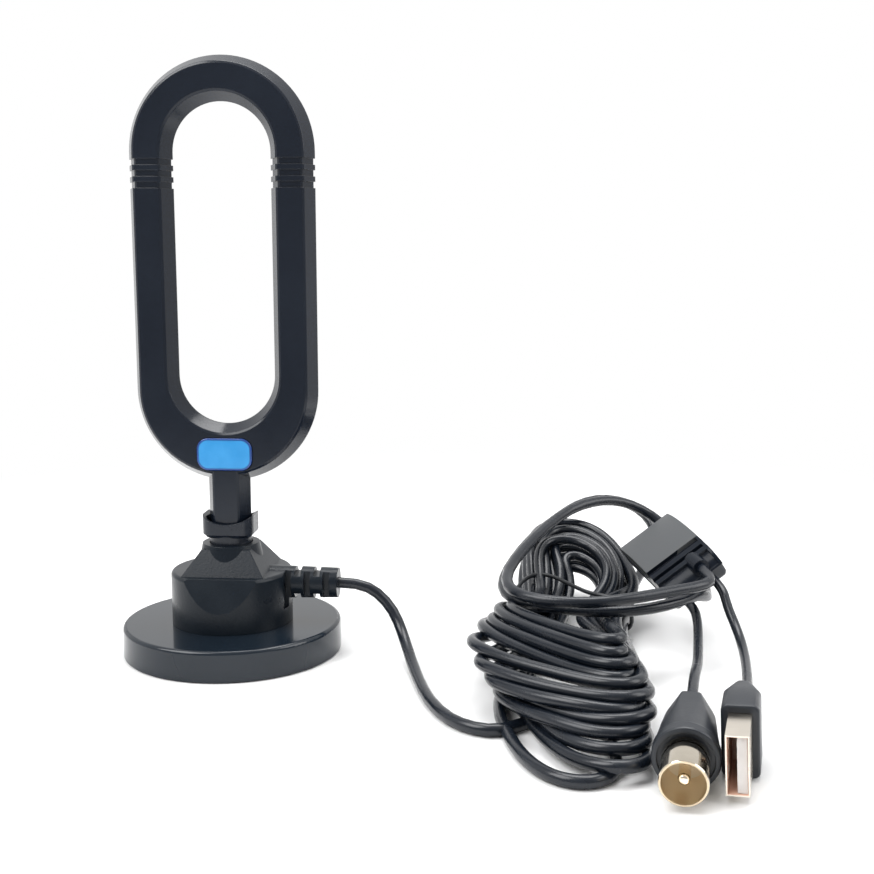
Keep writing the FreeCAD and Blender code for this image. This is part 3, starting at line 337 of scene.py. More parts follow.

# aerial plug's barrel, with its bore painted brighter as painted light standing in for light reaching inside,
# and a duller rim
barrelLook = {
    "name": "plugBarrel", "dark": (0.5, 0.45, 0.37), "light": (0.6, 0.545, 0.455),
    "roughLow": 0.05, "roughHigh": 0.1, "patchScale": 180.0, "stretch": (1.0, 1.0, 1.0),
    "grainScale": 900.0, "grainStrength": 0.03, "grainDepth": 0.0001,
    "home": (0.1088, -0.0807, 0.00685), "way": (-0.16626, -0.98296, -0.07846), "boreRadius": 0.0044,
    "bore": (0.97, 0.86, 0.68), "boreRough": 0.25,
    "rimFrom": 0.0094, "rim": (0.66, 0.54, 0.38), "rimRough": 0.3,
}
plugBarrel = metal(barrelLook)
barrelTree, barrelSurface = innards(plugBarrel)
barrelRadius = offAxis(barrelTree, barrelLook["home"], barrelLook["way"])
inBore = mathNode(barrelTree, "LESS_THAN", barrelRadius, barrelLook["boreRadius"])
# painted light: the bore gets a paler gold than the outside, as if lit inside
overpaint(barrelTree, barrelSurface, inBore, barrelLook["bore"], barrelLook["boreRough"])
barrelReach = alongAxis(barrelTree, barrelLook["home"], barrelLook["way"])
onRim = mathNode(barrelTree, "GREATER_THAN", barrelReach, barrelLook["rimFrom"])
overpaint(barrelTree, barrelSurface, onRim, barrelLook["rim"], barrelLook["rimRough"])
dress("aerial_shell", plugBarrel)

# cream ring round the pin
insulatorLook = {
    "name": "insulatorPlastic", "dark": (0.93, 0.8, 0.61), "light": (0.96, 0.84, 0.66),
    "roughLow": 0.35, "roughHigh": 0.5, "patchScale": 200.0, "specular": 0.5, "coat": 0.4, "coatRough": 0.15,
    "grainScale": 1500.0, "grainStrength": 0.08, "grainDepth": 0.0001,
}
dress("aerial_insulator", plastic(insulatorLook))

# usb shell, warm and not metallic inside its hollow, painted pale there as painted light standing in for
# light reaching inside
nickelLook = {
    "name": "plugNickel", "dark": (0.66, 0.6, 0.52), "light": (0.8, 0.74, 0.65),
    "roughLow": 0.16, "roughHigh": 0.28, "patchScale": 160.0, "stretch": (1.0, 1.0, 1.0),
    "grainScale": 1100.0, "grainStrength": 0.05, "grainDepth": 0.0001,
    "home": (0.1204, -0.0732, 0.007737), "side": (0.9761, -0.2110, 0.0523), "up": (-0.0512, 0.0111, 0.9986),
    "way": (-0.2113, -0.9774, 0.0), "hollowFrom": -0.011,
    "hollowHalf": 0.00198, "hollowTall": 0.00572, "hollow": (0.86, 0.57, 0.44), "hollowRough": 0.6,
}
plugNickel = metal(nickelLook)


def hollowMask(tree):
    across = mathNode(tree, "ABSOLUTE", alongAxis(tree, nickelLook["home"], nickelLook["side"]))
    tall = mathNode(tree, "ABSOLUTE", alongAxis(tree, nickelLook["home"], nickelLook["up"]))
    insideAcross = mathNode(tree, "LESS_THAN", across, nickelLook["hollowHalf"])
    insideTall = mathNode(tree, "LESS_THAN", tall, nickelLook["hollowTall"])
    reach = alongAxis(tree, nickelLook["home"], nickelLook["way"])
    inFront = mathNode(tree, "GREATER_THAN", reach, nickelLook["hollowFrom"])
    return mathNode(tree, "MULTIPLY", mathNode(tree, "MULTIPLY", insideAcross, insideTall), inFront)


nickelTree, nickelSurface = innards(plugNickel)
inHollow = hollowMask(nickelTree)
# painted light: the hollow is pale and not metallic, so it catches the dome's light like a lit recess
overpaint(nickelTree, nickelSurface, inHollow, nickelLook["hollow"], nickelLook["hollowRough"])
nickelTree.links.new(mathNode(nickelTree, "SUBTRACT", 1.0, inHollow), nickelSurface.inputs["Metallic"])
dress("usb_shell", plugNickel)
usbGripTree, usbGripSurface = innards(usbGrip)
# painted light: the same pale warm colour inside the grip's mouth
overpaint(usbGripTree, usbGripSurface, hollowMask(usbGripTree), usbGripLook["hollow"])

# pale tongue under the contacts
tongueLook = {
    "name": "tonguePlastic", "dark": (0.6, 0.58, 0.56), "light": (0.72, 0.7, 0.68),
    "roughLow": 0.4, "roughHigh": 0.55, "patchScale": 200.0, "specular": 0.4, "coat": 0.0, "coatRough": 0.3,
    "grainScale": 1500.0, "grainStrength": 0.08, "grainDepth": 0.0001,
}
dress("usb_tongue", plastic(tongueLook))

# blue enamel that darkens toward its border
badgeLook = {
    "name": "badgeEnamel", "dark": (0.02, 0.265, 0.62), "light": (0.035, 0.318, 0.7),
    "roughLow": 0.08, "roughHigh": 0.14, "patchScale": 200.0, "specular": 0.5, "coat": 0.6, "coatRough": 0.05,
    "grainScale": 600.0, "grainStrength": 0.03, "grainDepth": 0.0001,
    "home": (0.0, -0.0052, 0.0528), "flatWide": 0.00425, "flatTall": 0.00125,
    "border": (0.006, 0.05, 0.24), "borderFrom": 0.00205, "borderFade": 0.00045,
}
badgeEnamel = plastic(badgeLook)
badgeTree, badgeSurface = innards(badgeEnamel)
badgeSquares = []  # distance from a middle strip, so that the border follows the rounded outline
for axis, flat in (((1.0, 0.0, 0.0), badgeLook["flatWide"]), ((0.0, 0.0, 1.0), badgeLook["flatTall"])):
    offset = mathNode(badgeTree, "ABSOLUTE", alongAxis(badgeTree, badgeLook["home"], axis))
    past = mathNode(badgeTree, "MAXIMUM", mathNode(badgeTree, "SUBTRACT", offset, flat), 0.0)
    badgeSquares.append(mathNode(badgeTree, "MULTIPLY", past, past))
badgeReach = mathNode(badgeTree, "SQRT", mathNode(badgeTree, "ADD", *badgeSquares))
pastFace = mathNode(badgeTree, "SUBTRACT", badgeReach, badgeLook["borderFrom"])
pastFace = mathNode(badgeTree, "MAXIMUM", pastFace, 0.0)
fadeShare = mathNode(badgeTree, "DIVIDE", pastFace, badgeLook["borderFade"])
fadeShare = mathNode(badgeTree, "MINIMUM", fadeShare, 1.0)
onBorder = mathNode(badgeTree, "MULTIPLY", fadeShare, fadeShare)
overpaint(badgeTree, badgeSurface, onBorder, badgeLook["border"])
dress("badge_plate", badgeEnamel)
print("stage: materials on the pieces")

# aerial plug's grip: rings are (distance behind the barrel's seat, radius), flats are cut toward the rear
gripForm = {
    "home": (108.8, -80.7, 6.85), "way": (-0.16626, -0.98296, -0.07846), "around": 96,
    "rings": [
        (6.2, 4.5), (0.6, 4.5), (0.6, 5.65), (0.0, 5.65), (0.0, 6.3), (0.12, 6.58), (0.5, 6.75), (2.6, 6.75),
        (2.9, 6.6), (3.6, 6.5), (6.0, 6.25), (8.5, 6.0), (10.0, 5.85), (12.0, 5.7), (14.0, 5.55), (16.0, 5.4),
        (18.5, 5.25), (20.6, 5.1), (21.5, 4.95), (22.0, 4.6), (22.1, 1.22), (30.5, 1.2),
    ],
    "flatFrom": 9.5, "flatTo": 22.0, "flatStart": 5.85, "flatEnd": 3.9, "flatTurn": 58.0,
    "panelFrom": 7.0, "panelStart": 6.1, "panelEnd": 4.3,
}


def flatDepth(reach, begin, end, near, far):
    if reach <= begin or reach > end:
        return math.inf  # no flat here
    return near + (far - near) * (reach - begin) / (end - begin)


def aerialRings(form):
    way = Vector(form["way"])
    side = Vector((0.0, 0.0, 1.0)).cross(way).normalized()
    rise = way.cross(side)
    turn = math.radians(form["flatTurn"])
    rings = []
    for reach, radius in form["rings"]:
        cheek = flatDepth(reach, form["flatFrom"], form["flatTo"], form["flatStart"], form["flatEnd"])
        panel = flatDepth(reach, form["panelFrom"], form["flatTo"], form["panelStart"], form["panelEnd"])
        middle = Vector(form["home"]) - way * reach
        ring = []
        for i in range(form["around"]):
            angle = 2 * math.pi * i / form["around"]
            span = radius
            for depth, aim in ((panel, 0.0), (cheek, turn), (cheek, -turn)):
                lean = math.cos(angle - aim)
                if lean > 0.0:
                    span = min(span, depth / lean)
            ring.append(middle + (rise * math.cos(angle) + side * math.sin(angle)) * span)
        rings.append(ring)
    return rings


# usb plug's grip: rings are (distance behind its mouth, half width, half height, corner)
usbForm = {
    "home": (120.4, -73.2, 7.737), "way": (-0.2113, -0.9774, 0.0), "side": (0.9761, -0.2110, 0.0523),
    "around": 8,
    "rings": [
        (5.0, 2.27, 6.02, 0.3), (0.0, 2.27, 6.02, 0.3), (0.0, 3.35, 7.15, 1.1), (0.15, 3.65, 7.45, 1.3),
        (0.5, 3.8, 7.6, 1.4), (9.6, 3.8, 7.6, 1.4), (15.3, 1.95, 7.4, 1.4), (16.0, 1.7, 7.1, 1.3),
        (16.2, 1.4, 6.7, 1.1),
    ],
}


def usbRings(form):
    way = Vector(form["way"])
    side = Vector(form["side"])
    rise = way.cross(side)
    rings = []
    for reach, half, tall, corner in form["rings"]:
        middle = Vector(form["home"]) - way * reach
        ring = []
        for quarter, (upward, sideward) in enumerate(((1, 1), (-1, 1), (-1, -1), (1, -1))):
            for i in range(form["around"] + 1):
                angle = math.pi / 2 * (quarter + i / form["around"])
                high = upward * (tall - corner) + corner * math.cos(angle)
                wide = sideward * (half - corner) + corner * math.sin(angle)
                ring.append(middle + rise * high + side * wide)
        rings.append(ring)
    return rings


mouldEdge = 24.0  # degrees, and steeper corners stay crisp


def mould(name, rings, material, node):
    count = len(rings[0])
    faces = [tuple(reversed(range(count)))]
    for row in range(len(rings) - 1):
        near, far = row * count, (row + 1) * count
        for i in range(count):
            j = (i + 1) % count
            faces.append((near + i, near + j, far + j, far + i))
    faces.append(tuple(range(count * (len(rings) - 1), count * len(rings))))
    mesh = bpy.data.meshes.new(name)
    mesh.from_pydata([place / perMetre for ring in rings for place in ring], [], faces)
    mesh.update()
    mesh.shade_smooth()
    mesh.set_sharp_from_angle(angle=math.radians(mouldEdge))
    mesh.materials.append(material)
    piece = bpy.data.objects.new(name, mesh)
    scene.collection.objects.link(piece)
    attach(piece, "root")
    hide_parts(node)
    return piece


aerialGrip = mould("aerialGrip", aerialRings(gripForm), gripPlastic, "aerial_grip")
usbGripPiece = mould("usbGrip", usbRings(usbForm), usbGrip, "usb_grip")
print("stage: grips formed")


curveForm = {"order": 3, "roundness": 4, "shortSteps": 8, "longSteps": 2, "longFrom": 100}
leadRadius = {"main": 1.45, "plug": 1.2, "tie": 0.55}


def nurbs(name, points, radius, material):
    curve = bpy.data.curves.new(name, "CURVE")
    curve.dimensions = "3D"
    spline = curve.splines.new("NURBS")
    spline.points.add(len(points) - 1)
    for point, (x, y, z) in zip(spline.points, points):
        point.co = (x / perMetre, y / perMetre, z / perMetre, 1.0)
    spline.order_u = curveForm["order"]
    spline.use_endpoint_u = True
    isLong = len(points) >= curveForm["longFrom"]
    spline.resolution_u = curveForm["longSteps"] if isLong else curveForm["shortSteps"]
    curve.bevel_depth = radius / perMetre
    curve.bevel_resolution = curveForm["roundness"]
    curve.use_fill_caps = True
    curve.materials.append(material)
    piece = bpy.data.objects.new(name, curve)
    scene.collection.objects.link(piece)
    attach(piece, "root")
    return piece


# from the strain relief along the floor to the hank
tail = [
    (28.4, 0.0, 18.3), (33.6, 0.0, 18.3), (38.8, -0.1, 15.9), (43.0, -0.8, 11.2), (45.6, -4.0, 6.4),
    (48.2, -11.5, 2.9), (51.6, -25.0, 1.5), (55.6, -39.6, 1.5), (61.0, -50.4, 1.5),
    (67.0, -55.4, 1.5), (72.6, -56.0, 1.5), (79.0, -50.0, 1.5), (85.0, -43.0, 1.5), (90.0, -34.0, 1.5),
    (93.0, -22.0, 1.5), (94.0, -6.0, 1.5),
]
# two loose turns from the hank up to the box
looseLoop = [
    (110.6, 42.0, 11.0), (114.4, 48.0, 14.0), (116.6, 54.2, 18.2), (115.6, 60.4, 22.6),
    (111.8, 64.6, 26.0), (105.8, 66.2, 28.2), (98.8, 64.8, 28.8), (92.4, 60.2, 27.6),
    (87.6, 53.6, 25.8), (83.8, 46.2, 24.6), (80.0, 36.4, 23.6), (76.2, 24.5, 22.2),
    (72.2, 12.4, 19.2), (71.0, 2.6, 17.2), (73.8, -5.0, 16.2), (80.8, -9.6, 16.0),
    (90.9, -13.4, 16.0), (100.0, -14.2, 16.2), (108.6, -11.6, 16.4), (116.0, -6.4, 16.9),
    (121.2, 0.0, 17.0), (124.6, 5.6, 15.0), (125.8, 12.8, 13.2), (126.2, 21.2, 14.2),
    (125.4, 30.0, 16.2), (123.4, 38.4, 19.4), (119.6, 45.2, 23.4), (114.2, 48.8, 27.4),
    (108.0, 47.6, 30.8), (102.2, 44.2, 32.6), (96.4, 39.6, 33.0), (89.7, 33.6, 32.0),
    (82.5, 23.2, 28.8), (76.4, 11.0, 25.2), (72.4, -0.6, 22.2), (72.8, -9.8, 20.5),
    (77.4, -16.2, 20.0), (84.6, -19.4, 19.9), (93.0, -20.0, 20.0), (101.4, -17.2, 20.2),
    (109.2, -12.6, 20.4), (116.0, -8.8, 20.7), (122.8, -5.2, 21.0), (125.17, 0.26, 21.45),
    (123.18, 6.26, 22.42),
]
# front bend of each turn, from the lowest up
fans = [
    [(71.5, -35.5, 1.5), (72.0, -44.0, 1.5), (73.7, -56.5, 1.5), (77.0, -68.5, 1.5), (81.5, -77.0, 1.5),
     (87.0, -82.0, 1.5), (92.5, -81.0, 1.5), (97.0, -75.5, 1.5)],
    [(73.5, -37.5, 2.2), (76.5, -48.0, 2.4), (80.0, -57.0, 2.6), (83.5, -66.5, 2.8), (89.5, -75.5, 3.0),
     (96.5, -80.0, 4.4), (101.0, -78.5, 4.4), (103.5, -73.5, 3.8)],
    [(73.0, -39.0, 4.2), (76.5, -49.0, 4.4), (80.5, -57.5, 4.6), (84.0, -65.0, 4.8), (89.0, -71.0, 5.2),
     (94.5, -74.5, 5.6), (100.0, -73.0, 5.8), (103.2, -69.5, 5.6)],
    [(71.5, -41.5, 6.0), (75.5, -50.5, 6.2), (80.0, -58.5, 6.4), (84.5, -64.0, 6.6), (89.5, -68.5, 6.8),
     (95.0, -71.0, 7.0), (100.5, -70.0, 7.2), (104.0, -66.0, 7.0)],
    [(70.0, -43.0, 7.8), (76.0, -52.0, 7.8), (82.5, -58.5, 8.0), (88.5, -63.5, 8.2), (94.5, -66.5, 8.4),
     (100.0, -67.0, 8.4), (104.2, -63.5, 8.2)],
    [(69.0, -43.5, 9.6), (74.0, -51.0, 9.6), (79.5, -57.0, 9.6), (85.0, -61.0, 9.8), (91.0, -64.0, 9.8),
     (97.0, -65.0, 9.8), (101.0, -64.0, 9.6), (103.4, -60.5, 9.4)],
    [(66.0, -37.5, 11.2), (67.8, -43.5, 11.2), (74.0, -49.5, 11.2), (80.5, -54.5, 11.2), (87.0, -58.0, 11.2),
     (93.0, -61.0, 11.2), (99.0, -62.5, 11.2), (103.0, -61.0, 11.0), (104.6, -57.0, 10.8)],
    [(64.0, -27.5, 12.6), (65.8, -34.0, 12.6), (70.5, -39.5, 12.6), (77.0, -44.5, 12.4), (83.0, -48.5, 12.4),
     (90.0, -53.0, 12.2), (96.5, -56.5, 12.2), (101.0, -57.0, 12.2), (103.6, -53.5, 12.0)],
    [(66.0, -13.0, 11.4), (69.0, -21.5, 11.6), (76.0, -29.5, 11.6), (82.5, -37.0, 11.8), (88.5, -44.0, 12.0),
     (94.5, -49.5, 12.4), (99.0, -53.0, 12.8), (102.4, -50.5, 12.6)],
    [(68.0, -11.0, 13.2), (71.2, -20.0, 13.4), (77.5, -28.5, 13.6), (83.5, -36.0, 13.8), (89.5, -43.0, 14.0),
     (95.5, -48.5, 14.2), (99.0, -51.0, 14.4), (101.8, -48.5, 14.2)],
    [(70.0, -9.0, 14.8), (73.0, -18.0, 15.0), (78.5, -26.0, 15.2), (84.0, -34.0, 15.4), (89.5, -40.0, 15.6),
     (94.0, -45.0, 15.8), (98.0, -48.5, 16.0), (101.0, -46.5, 15.8)],
    [(72.5, -7.0, 16.0), (75.2, -14.5, 16.2), (80.0, -22.5, 16.4), (84.5, -29.0, 16.6), (90.5, -36.5, 17.0),
     (95.0, -41.5, 17.2), (98.0, -44.5, 17.4), (100.4, -42.5, 17.2)],
]
# (x, z) where each turn passes under the tie, right and left, and where it comes down at the rear left
rightWaist = [
    (93.0, 1.5), (96.1, 1.5), (99.2, 1.5), (102.3, 1.6), (94.4, 4.2), (97.5, 4.2), (100.6, 4.3), (103.4, 4.6),
    (101.6, 7.2), (98.6, 7.0), (95.6, 7.0), (92.8, 7.0), (97.2, 9.8),
]
leftWaist = [
    (86.8, 2.0), (83.7, 2.0), (80.6, 2.0), (77.5, 2.0), (88.5, 4.8), (84.9, 4.8), (81.7, 4.8), (78.6, 4.8),
    (79.8, 7.6), (82.9, 7.6), (86.2, 7.6), (81.8, 10.4),
]
leftDrop = [
    (88.0, 10.0), (84.0, 10.5), (80.0, 11.0), (76.5, 11.5), (90.5, 12.5), (86.0, 13.0), (81.8, 13.5),
    (77.5, 14.0), (78.5, 16.0), (83.0, 16.0), (88.0, 15.5), (80.5, 17.5),
]
# rear arch of the widest and of the narrowest turn, and how far its end leans to the way down
outerArch = [
    (107.0, 29.0, 8.0), (107.0, 40.0, 12.0), (104.5, 50.0, 16.0), (99.0, 59.5, 20.5), (93.0, 64.0, 22.0),
    (86.0, 63.0, 22.0), (79.0, 53.0, 19.5),
]
innerArch = [
    (100.5, 24.0, 9.5), (102.0, 31.0, 12.5), (101.0, 38.5, 16.0), (97.0, 44.0, 18.6), (91.0, 47.5, 20.0),
    (84.5, 46.5, 19.8), (81.0, 42.5, 18.4),
]
archPull = [0.0, 0.0, 0.0, 0.0, 0.0, 0.2, 0.5]
# each turn's share from the outer arch to the inner one, and how many layers it lies under the top
nest = [
    (1.3, 2), (0.95, 2), (0.6, 2), (0.25, 2), (1.25, 1), (0.85, 1), (0.45, 1), (0.1, 1), (0.12, 0), (0.45, 0),
    (0.8, 0), (1.1, 0),
]


# where the turns pass along y, and how far points between them bow from a straight run
hankForm = {
    "rightY": 15.0, "leftY": 25.0, "dropY": 39.0, "dropStep": 2.0, "layerStep": 2.6, "lowest": 1.5,
    "fallBow": (5.0, 3.0, -2.0), "fallNear": 0.6, "fallFar": 0.4,
    "fanEntry": (2.4, 8.5, -1.6), "fanExit": (-0.8, 7.0, -0.8), "riseBow": (-1.4, 1.0, -0.6),
    "leave": (106.0, 31.0, 9.0),
}


def blend(a, b, share):
    return tuple(x + (y - x) * share for x, y in zip(a, b))


def bowed(x, y, z, bow):
    return x + bow[0], y + bow[1], max(hankForm["lowest"], z + bow[2])


# one turn: right waist, rear arch, left waist, front bend and back to the next right waist
def turnPoints(index):
    share, layer = nest[index]
    waistX, waistZ = rightWaist[index]
    nextX, nextZ = rightWaist[index + 1]
    leftX, leftZ = leftWaist[index]
    dropX, dropZ = leftDrop[index]
    rightY, leftY = hankForm["rightY"], hankForm["leftY"]
    points = [(waistX, rightY, waistZ)]
    for far, near, pull in zip(outerArch, innerArch, archPull):
        x, y, z = blend(far, near, share)
        points.append((x + (dropX - x) * pull, y, z - hankForm["layerStep"] * layer))
    points.append((dropX, hankForm["dropY"] - hankForm["dropStep"] * share, dropZ))
    points.append((leftX, leftY, leftZ))
    x, y, z = fans[index][0]
    bowX, bowY, bowZ = hankForm["fallBow"]
    fallX = hankForm["fallNear"] * leftX + hankForm["fallFar"] * (x + bowX)
    points.append(bowed(fallX, 0.5 * (leftY + y), 0.5 * (leftZ + z), (0.0, bowY, bowZ)))
    points.append(bowed(x, y, z, hankForm["fanEntry"]))
    points += fans[index]
    x, y, z = fans[index][-1]
    points.append(bowed(x, y, z, hankForm["fanExit"]))
    points.append(bowed(0.5 * (x + nextX), 0.5 * (y + rightY), 0.5 * (z + nextZ), hankForm["riseBow"]))
    return points


# how the line is spaced and smoothed, and how turns that lie too close push each other apart
lineForm = {
    "step": 3.0, "spanSteps": 12, "smoothings": 6, "width": 2.95, "tightest": 4.6, "rounds": 160,
    "apart": 5, "pairEvery": 12, "pairMargin": 2.5, "push": 0.35, "ownShare": 0.4, "nextShare": 0.3,
    "hold": 0.985, "freeTail": 12, "looseSpare": 15,
}
tiny = 1e-9


def spaced(points, step):
    run = np.concatenate([[0], np.cumsum(np.linalg.norm(np.diff(points, axis=0), axis=1))])
    marks = np.linspace(0, run[-1], int(run[-1] / step) + 1)
    return np.stack([np.interp(marks, run, points[:, k]) for k in range(3)], axis=1)


# a smooth line through the points, with the speed at each one set by the gaps beside it
def evenLine(points, step):
    points = np.array(points, float)
    ends = np.vstack([2 * points[0] - points[1], points, 2 * points[-1] - points[-2]])
    fine = [points[0]]
    for i in range(1, len(ends) - 2):
        before, here, there, after = ends[i - 1:i + 3]
        inRoot = np.sqrt(np.linalg.norm(here - before))
        midRoot = np.sqrt(np.linalg.norm(there - here))
        outRoot = np.sqrt(np.linalg.norm(after - there))
        leave = there - here + midRoot * ((here - before) / inRoot - (there - before) / (inRoot + midRoot))
        arrive = there - here + midRoot * ((after - there) / outRoot - (after - here) / (midRoot + outRoot))
        for share in np.linspace(0, 1, lineForm["spanSteps"] + 1)[1:]:
            stay = 2 * share ** 3 - 3 * share ** 2 + 1
            outPart = share ** 3 - 2 * share ** 2 + share
            inPart = share ** 3 - share ** 2
            fine.append(stay * here + outPart * leave + (1 - stay) * there + inPart * arrive)
    line = spaced(np.array(fine), step)
    for i in range(lineForm["smoothings"]):
        line[1:-1] = 0.5 * line[1:-1] + 0.25 * (line[:-2] + line[2:])
    return spaced(line, step)


def nearPairs(line, reach):
    one, two = [], []
    apart = lineForm["apart"]
    for i in range(len(line) - apart):
        gap = np.abs(line[i + apart:] - line[i]).max(1)
        hits = np.nonzero(gap < reach)[0] + i + apart
        one += [i] * len(hits)
        two += list(hits)
    return np.array(one), np.array(two)


# opens out a fold that is deeper than the tightest bend
def easeFolds(line, deepest):
    bow = line[1:-1] - 0.5 * (line[:-2] + line[2:])
    depth = np.sqrt((bow ** 2).sum(1)) + tiny
    excess = bow * np.maximum(1.0 - deepest / depth, 0.0)[:, None]
    move = np.zeros_like(line)
    move[1:-1] -= 0.5 * excess
    move[:-2] += 0.25 * excess
    move[2:] += 0.25 * excess
    return move


def settle(line, free):
    home = line.copy()
    width = lineForm["width"]
    deepest = lineForm["step"] ** 2 / (2 * lineForm["tightest"])
    for i in range(lineForm["rounds"]):
        if i % lineForm["pairEvery"] == 0:
            one, two = nearPairs(line, width + lineForm["pairMargin"])
        delta = line[one] - line[two]
        distance = np.sqrt((delta ** 2).sum(1)) + tiny
        push = delta * (np.maximum(width - distance, 0.0) / distance * lineForm["push"])[:, None]
        move = np.zeros_like(line)
        np.add.at(move, one, push)
        np.add.at(move, two, -push)
        shift = line + move * free - home
        shift[1:-1] = lineForm["ownShare"] * shift[1:-1] + lineForm["nextShare"] * (shift[:-2] + shift[2:])
        line = home + shift * free * lineForm["hold"]
        line = line + easeFolds(line, deepest) * free
        line[:, 2] = np.maximum(line[:, 2], width / 2)  # never into the floor
    return line


def nearest(line, place):
    return int(np.linalg.norm(line - np.array(place), axis=1).argmin())


wound = list(tail)
for index in range(len(fans)):
    wound += turnPoints(index)
lastX, lastZ = rightWaist[-1]
wound += [(lastX, hankForm["rightY"], lastZ), hankForm["leave"]] + looseLoop
line = evenLine(wound, lineForm["step"])
looseRun = np.linalg.norm(np.diff(looseLoop, axis=0), axis=1).sum()
looseCount = int(looseRun / lineForm["step"]) + lineForm["looseSpare"]
hankStart = nearest(line, tail[-1])
hankEnd = nearest(line[-looseCount:], looseLoop[0]) + len(line) - looseCount
order = np.arange(len(line))
free = ((order > hankStart - lineForm["freeTail"]) & (order < hankEnd)).astype(float)[:, None]
line = settle(line, free)  # only the hank and the end of the tail move
mainRoute = tail[:-1] + [tuple(p) for p in line[hankStart:hankEnd - 1]] + looseLoop
mainLead = nurbs("mainLead", mainRoute, leadRadius["main"], leadJacket)
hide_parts("lead_tail", "lead_hank", "lead_loop")

# from the box to each plug
aerialRoute = [
    (119.19, 5.85, 14.11), (120.93, 0.60, 13.26), (121.1, -4.4, 11.2), (120.4, -11.4, 9.5),
    (119.2, -20.2, 8.8), (117.8, -30.0, 8.8), (115.45, -41.38, 9.99), (113.87, -50.72, 9.24),
]
aerialLead = nurbs("aerialLead", aerialRoute, leadRadius["plug"], leadJacket)
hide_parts("aerial_lead")

usbRoute = [
    (126.32, 7.37, 19.38), (128.06, 2.12, 18.53), (128.8, -2.2, 14.6), (130.4, -6.4, 10.6),
    (131.0, -12.4, 8.0), (130.4, -20.4, 7.2), (129.3, -29.0, 7.2), (127.8, -38.6, 7.4),
    (125.58, -49.26, 7.74), (123.57, -58.54, 7.74),
]
usbLead = nurbs("usbLead", usbRoute, leadRadius["plug"], leadJacket)
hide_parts("usb_lead")

# coated wire tie
tieLook = {
    "name": "tieCoating", "dark": (0.004, 0.006, 0.009), "light": (0.007, 0.009, 0.012),
    "roughLow": 0.35, "roughHigh": 0.5, "patchScale": 300.0, "specular": 0.5, "coat": 0.0, "coatRough": 0.3,
    "grainScale": 2000.0, "grainStrength": 0.1, "grainDepth": 0.0001,
}
tieRoute = [
    (92.0, 21.4, 0.55), (84.0, 21.6, 0.55), (77.2, 21.8, 0.8), (74.2, 22.0, 3.6), (73.8, 23.2, 7.6),
    (75.2, 26.0, 11.4), (78.8, 28.6, 13.8), (84.0, 27.8, 14.2), (89.4, 21.8, 13.2), (94.4, 15.0, 12.6),
    (99.4, 11.6, 12.8), (104.0, 11.4, 11.0), (106.4, 12.8, 6.6), (105.6, 15.4, 2.4), (101.4, 18.6, 0.6),
    (94.0, 22.6, 0.55),
]
wireTie = nurbs("wireTie", tieRoute, leadRadius["tie"], plastic(tieLook))
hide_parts("hank_tie")


# the line's own length, measured without its thickness
def curveLength(piece):
    shape = piece.data.copy()
    shape.bevel_depth = 0.0
    holder = bpy.data.objects.new("measure", shape)
    scene.collection.objects.link(holder)
    bpy.context.view_layer.update()
    mesh = holder.evaluated_get(bpy.context.evaluated_depsgraph_get()).to_mesh()
    places = [v.co for v in mesh.vertices]
    total = sum((places[e.vertices[0]] - places[e.vertices[1]]).length for e in mesh.edges)
    bpy.data.objects.remove(holder)
    return total


print("lead lengths", [round(curveLength(piece), 4) for piece in (mainLead, aerialLead, usbLead)])
curveLength(mainLead)
curveLength(aerialLead)
curveLength(usbLead)
print("stage: leads laid")


def mixShaders(tree, factor, first, second):
    node = tree.nodes.new("ShaderNodeMixShader")
    for socket, source in zip(node.inputs, (factor, first, second)):
        tree.links.new(source, socket)
    return node.outputs["Shader"]


# white floor that takes shadows near the object and fades into the backdrop, darker in reflections ahead
floorLook = {
    "colour": (0.95, 0.95, 0.95, 1.0), "rough": 0.9, "specular": 0.0, "reach": 6.0, "height": -0.00005,
    "centre": (0.06, -0.01, 0.0), "near": 0.13, "far": 0.34,
    "frontFrom": -0.1, "frontTo": -0.4, "frontShade": 0.42,
}
floorMaterial, floorTree, floorSurface = newMaterial("studioFloor")
floorSurface.inputs["Base Color"].default_value = floorLook["colour"]
floorSurface.inputs["Roughness"].default_value = floorLook["rough"]
floorSurface.inputs["Specular IOR Level"].default_value = floorLook["specular"]
floorPlace = floorTree.nodes.new("ShaderNodeTexCoord").outputs["Object"]
floorSpan = vectorNode(floorTree, "DISTANCE", floorPlace, floorLook["centre"]).outputs["Value"]
floorFade = rangeNode(floorTree, floorSpan, floorLook["near"], floorLook["far"], 0.0, 1.0, smooth=True)
floorSplit = floorTree.nodes.new("ShaderNodeSeparateXYZ")
floorTree.links.new(floorPlace, floorSplit.inputs["Vector"])
floorFront = rangeNode(
    floorTree, floorSplit.outputs["Y"], floorLook["frontFrom"], floorLook["frontTo"],
    1.0, floorLook["frontShade"])
floorPath = floorTree.nodes.new("ShaderNodeLightPath").outputs
floorGlow = floorTree.nodes.new("ShaderNodeEmission")
glowStrength = mathNode(floorTree, "MAXIMUM", floorFront, floorPath["Is Camera Ray"])
floorTree.links.new(glowStrength, floorGlow.inputs["Strength"])
inMirror = mathNode(floorTree, "MAXIMUM", floorPath["Is Glossy Ray"], floorPath["Is Transmission Ray"])
floorSeen = mathNode(floorTree, "MAXIMUM", floorPath["Is Camera Ray"], inMirror)
glowShare = mathNode(floorTree, "MULTIPLY", floorFade, floorSeen)
floorShader = mixShaders(floorTree, glowShare, floorSurface.outputs["BSDF"], floorGlow.outputs["Emission"])
floorOut = next(n for n in floorTree.nodes if n.type == "OUTPUT_MATERIAL")
floorTree.links.new(floorShader, floorOut.inputs["Surface"])
floorMesh = bpy.data.meshes.new("studioFloor")
span = floorLook["reach"]
corners = [(-span, -span, 0), (span, -span, 0), (span, span, 0), (-span, span, 0)]
floorMesh.from_pydata(corners, [], [(0, 1, 2, 3)])
